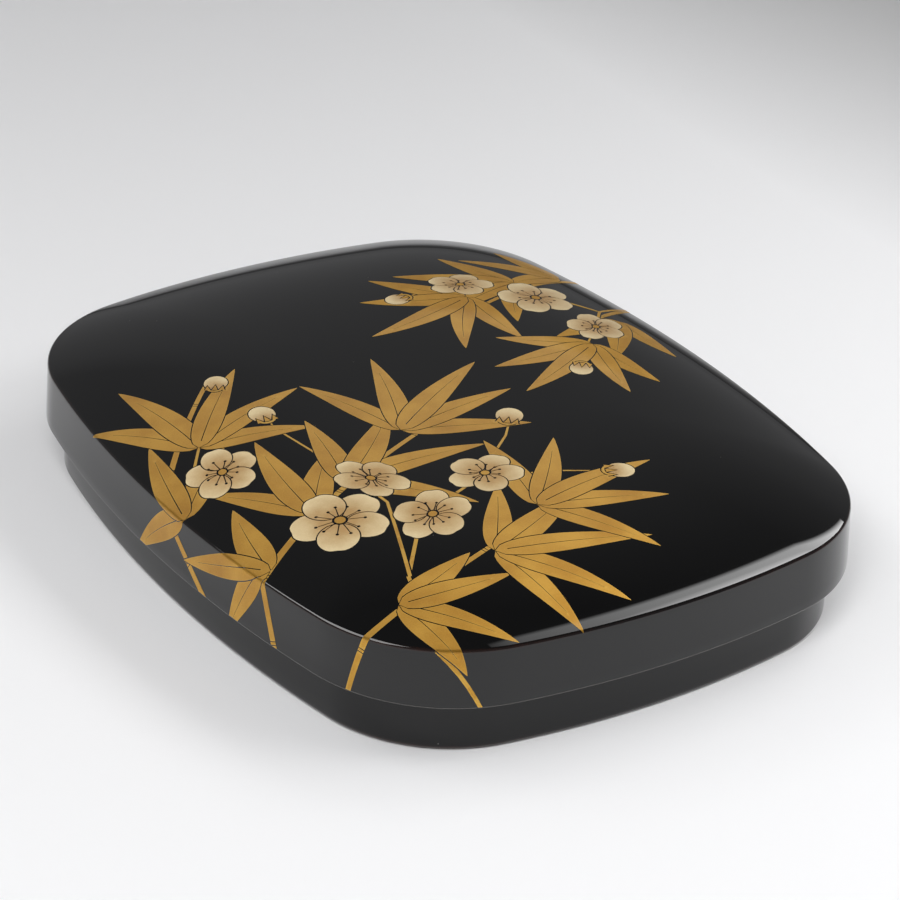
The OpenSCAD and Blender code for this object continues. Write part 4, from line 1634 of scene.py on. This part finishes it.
@dataclass
class Contents:
    """Everything that lies in the base: board, stone, dropper, trays, brushes and ink."""

    ease: float = 0.45

    def build(self) -> None:
        """Dresses the CAD nodes and makes the hair."""
        satin = SatinLacquer().material()
        for node in ("inkstone_board", "brush_tray", "ink_tray"):
            dress(node, satin, self.ease)
        for node in ("brush_rest_near", "brush_rest_far", "ink_tray_divider"):
            dress(node, satin, 0.3)
        dress("inkstone", Slate().material(), 0.6, 3)
        copper = AgedCopper().material()
        dress("dropper_case", copper, 0.25)
        dress("dropper_top", copper, 0.25)
        dress("dropper_spout", copper, 0.2)
        dress("ink_stick", PressedInk().material(), 0.35)
        cane, horn, hair = BambooCane().material(), Horn().material(), SizedHair().material()
        for node in ("large_brush_handle", "small_brush_handle"):
            dress(node, cane)
        for node in ("large_brush_collar", "large_brush_tail", "small_brush_tail"):
            dress(node, horn, 0.15)
        BrushHair("large_brush_hair", "large_brush_tuft", "large_brush", (-59.1, 13.1), 55.0, 5.0,
                  36.0).build(hair)
        BrushHair("small_brush_hair", "small_brush_tuft", "small_brush", (-70.2, 13.1), 59.0, 2.3,
                  24.0).build(hair)


# ---------------------------------------------------------------------------------------------
# Studio

@dataclass(frozen=True)
class Softbox:
    """A flat light with an even face."""

    name: str
    middle: Triple                         # of its face, in metres
    across: Triple                         # direction of its width
    down: Triple                           # direction of its height
    size: Range                            # width and height
    glow: float                            # radiance of its face
    on_matt: bool = True                   # whether it lights matt surfaces
    flagged_off: tuple[str, ...] = ()      # pieces that a flag keeps it from
    only_on: tuple[str, ...] = ()          # pieces that it is snooted on

    def build(self) -> bpy.types.Object:
        """Adds the light to the scene.

        Returns:
            The light's object.
        """
        x_axis, y_axis = Vector(self.across).normalized(), Vector(self.down).normalized()
        z_axis = x_axis.cross(y_axis)
        if z_axis.dot(Vector(self.middle)) < 0:
            x_axis, z_axis = -x_axis, -z_axis
        data = bpy.data.lights.new(self.name, "AREA")
        data.shape = "RECTANGLE"
        data.size, data.size_y = self.size
        data.energy = self.glow * math.pi * self.size[0] * self.size[1]
        lamp = bpy.data.objects.new(self.name, data)
        turn = Matrix((x_axis, y_axis, z_axis)).transposed()
        lamp.matrix_world = Matrix.Translation(self.middle) @ turn.to_4x4()
        lamp.visible_camera = False
        lamp.visible_diffuse = self.on_matt
        bpy.context.scene.collection.objects.link(lamp)
        if self.flagged_off or self.only_on:
            flag = bpy.data.collections.new(self.name + "_flag")
            lamp.light_linking.receiver_collection = flag
            for name in self.flagged_off or self.only_on:
                flag.objects.link(bpy.data.objects[name])
            for piece in flag.collection_objects:
                piece.light_linking.link_state = "EXCLUDE" if self.flagged_off else "INCLUDE"
        return lamp


@dataclass(frozen=True)
class BowedSoftbox(Softbox):
    """A softbox whose cloth bows at one long edge and glows more towards its lower end and far edge, as
    the polished lid mirrors it."""

    bow: Triple = (0.0, 0.0, 0.0)          # the lit edge: its place across, its peak down and its bend
    softness: float = 0.02                 # width of that edge
    dim_end: float = 0.3                   # glow at the upper end, where the lower end is 1
    hot_from: float = 0.0                  # place across where the glow starts to rise
    hot_width: float = 0.04                # how far across it takes to rise
    hot: float = 2.0                       # glow beyond that, where the rest is 1

    def build(self) -> bpy.types.Object:
        """Adds the light and paints its face.

        Returns:
            The light's object.
        """
        lamp = super().build()
        lamp.data.use_nodes = True
        tree = lamp.data.node_tree
        tree.nodes.clear()
        spot = add_node(tree, "ShaderNodeNewGeometry").outputs["Position"]
        spot = add_node(tree, "ShaderNodeVectorMath", {0: spot, 1: self.middle}, operation="SUBTRACT")
        u, v = (add_node(tree, "ShaderNodeVectorMath", {0: spot.outputs[0], 1: Vector(way).normalized()},
                         operation="DOT_PRODUCT").outputs["Value"] for way in (self.across, self.down))
        edge, peak, bend = self.bow
        off = add_node(tree, "ShaderNodeMath", {0: v, 1: peak}, operation="SUBTRACT").outputs[0]
        off = add_node(tree, "ShaderNodeMath", {0: off, 1: off}, operation="MULTIPLY").outputs[0]
        u_lit = add_node(tree, "ShaderNodeMath", {0: off, 1: bend, 2: u}, operation="MULTIPLY_ADD")
        lit = add_node(tree, "ShaderNodeMapRange", {"Value": u_lit.outputs[0], "From Min": edge,
                                                    "From Max": edge + self.softness})
        half = self.size[1] / 2
        along = add_node(tree, "ShaderNodeMapRange", {"Value": v, "From Min": -half, "From Max": half,
                                                      "To Min": self.dim_end, "To Max": 1.0})
        strip = add_node(tree, "ShaderNodeMapRange",
                         {"Value": u, "From Min": self.hot_from, "From Max": self.hot_from + self.hot_width,
                          "To Min": 1.0, "To Max": self.hot})
        glow = add_node(tree, "ShaderNodeMath", {0: lit.outputs[0], 1: along.outputs[0]},
                        operation="MULTIPLY")
        glow = add_node(tree, "ShaderNodeMath", {0: glow.outputs[0], 1: strip.outputs[0]},
                        operation="MULTIPLY")
        face = add_node(tree, "ShaderNodeEmission", {"Strength": glow.outputs[0]})
        add_node(tree, "ShaderNodeOutputLight", {"Surface": face.outputs[0]})
        return lamp


@dataclass
class Studio:
    """Paper floor, soft lights and the camera where the photograph was taken from."""

    floor_half: float = 4.0
    azimuth: float = -33.912
    elevation: float = 29.966
    distance: float = 1.0523
    focal_px: float = 3335.3
    pan_px: float = -13.252
    rise_px: float = 74.646
    roll: float = 2.737
    frame_px: float = 900.0
    sensor: float = 36.0
    clip: Range = (0.05, 30.0)

    def floor(self) -> None:
        """Lays the paper."""
        h = self.floor_half / MM
        sheet = new_piece("paper_floor", [(-h, -h, 0), (h, -h, 0), (h, h, 0), (-h, h, 0)],
                          [(0, 1, 2, 3)], [PaperSweep().material()])

    @staticmethod
    def room() -> None:
        """Sets the dim room, which polished lacquer mirrors: paler near the floor than overhead."""
        world = bpy.data.worlds.new("dim_room")
        world.use_nodes = True
        tree = world.node_tree
        tree.nodes.clear()
        way = add_node(tree, "ShaderNodeTexCoord").outputs["Generated"]
        split = add_node(tree, "ShaderNodeSeparateXYZ", {0: way})
        stops = [(0.0, 0.20), (0.05, 0.26), (0.42, 0.25), (0.52, 0.215), (0.67, 0.18), (0.77, 0.145),
                 (0.84, 0.115), (1.0, 0.13)]
        wall = add_node(tree, "ShaderNodeValToRGB", {0: split.outputs["Z"]},
                        [(z, (v, v, v * 1.02, 1.0)) for z, v in stops]).outputs["Color"]
        paler = add_node(tree, "ShaderNodeMapRange",
                         {"Value": split.outputs["X"], "From Min": -0.2, "From Max": 0.6, "To Min": 1.2,
                          "To Max": 0.85})
        glow = add_node(tree, "ShaderNodeBackground", {"Color": wall, "Strength": paler.outputs[0]})
        add_node(tree, "ShaderNodeOutputWorld", {"Surface": glow.outputs[0]})
        bpy.context.scene.world = world

    @staticmethod
    def lights() -> None:
        """Sets a softbox on each side, which the lacquer mirrors, fills that are flagged off lacquer and
        gold, and a wide ceiling for the gold alone."""
        BowedSoftbox("right_softbox", (0.662, 0.150, 0.870), (0.225, -0.974, 0.0),
                     (0.713, 0.165, -0.682), (0.21, 0.85), 8.1, on_matt=False,
                     bow=(0.000, -0.015, 0.55), dim_end=0.06, hot_from=0.042, hot=2.3).build()
        Softbox("left_softbox", (-0.675, 0.05, 0.80), (-0.40, -1.00, 0.0), (-0.25, 0.10, -0.60),
                (1.077, 0.658), 5.4, on_matt=False, flagged_off=("lid_gold_leaves",)).build()
        shaded = ("lid_shell", "base_shell", "lid_gold_leaves")
        for name, middle, side, glow in (("camera_fill", (-0.975, -0.975, 1.3), 0.9, 10.6),
                                         ("right_fill", (0.45, -0.45, 0.6), 0.4, 5.5),
                                         ("far_fill", (0.45, 0.0, 0.6), 0.4, 2.3),
                                         ("left_fill", (-0.45, 0.0, 0.6), 0.4, 0.9),
                                         ("rear_fill", (-0.45, 0.45, 0.6), 0.4, 2.0)):
            Softbox(name, middle, (1, 0, 0), (0, 1, 0), (side, side), glow, flagged_off=shaded).build()
        Softbox("gold_ceiling", (1.3, 1.9, 2.6), (1, 0, 0), (0, 1, 0), (6.0, 6.0), 0.60,
                only_on=("lid_gold_leaves",)).build()

    def camera(self) -> None:
        """Sets the camera from the angles measured on the photograph."""
        az, el = math.radians(self.azimuth), math.radians(self.elevation)
        back = Vector((math.sin(az) * math.cos(el), -math.cos(az) * math.cos(el), math.sin(el)))
        right = Vector((math.cos(az), math.sin(az), 0))
        pan, rise = math.atan2(self.pan_px, self.focal_px), math.atan2(self.rise_px, self.focal_px)
        forward = -back * math.cos(pan) - right * math.sin(pan)
        right = forward.cross(Vector((0, 0, 1))).normalized()
        up = right.cross(forward)
        forward = forward * math.cos(rise) + up * math.sin(rise)
        up = right.cross(forward)
        roll = math.radians(self.roll)
        x_axis = math.cos(roll) * right + math.sin(roll) * up
        y_axis = -math.sin(roll) * right + math.cos(roll) * up
        turn = Matrix((x_axis, y_axis, -forward)).transposed()
        data = bpy.data.cameras.new("photo_camera")
        data.sensor_width = self.sensor
        data.lens = self.focal_px / self.frame_px * self.sensor
        data.clip_start, data.clip_end = self.clip
        eye = bpy.data.objects.new("photo_camera", data)
        eye.matrix_world = Matrix.Translation(back * self.distance) @ turn.to_4x4()
        bpy.context.scene.collection.objects.link(eye)
        bpy.context.scene.camera = eye

    def build(self) -> None:
        """Builds the whole studio, round the pieces that are there already."""
        self.camera()
        self.floor()
        self.room()
        self.lights()
        bpy.context.scene.view_settings.view_transform = "Standard"


def main() -> None:
    """Builds the studio, the box, its decoration and its contents."""
    logging.basicConfig(level=logging.INFO, format="%(name)s: %(message)s")
    mirror, satin = MirrorLacquer().material(), SatinLacquer(name="inner_urushi_brushed").material()
    lid = Lid()
    lid.build(mirror, satin)
    base = MirrorLacquer(name="roiro_urushi_older", ior=1.46, roughness=0.035)
    BaseBox().build(base.material(), satin)
    LidDecoration(lid).build(GoldMakie().material(), IvoryMakie().material())
    Contents().build()
    Studio().build()


if __name__ == "__main__":
    main()
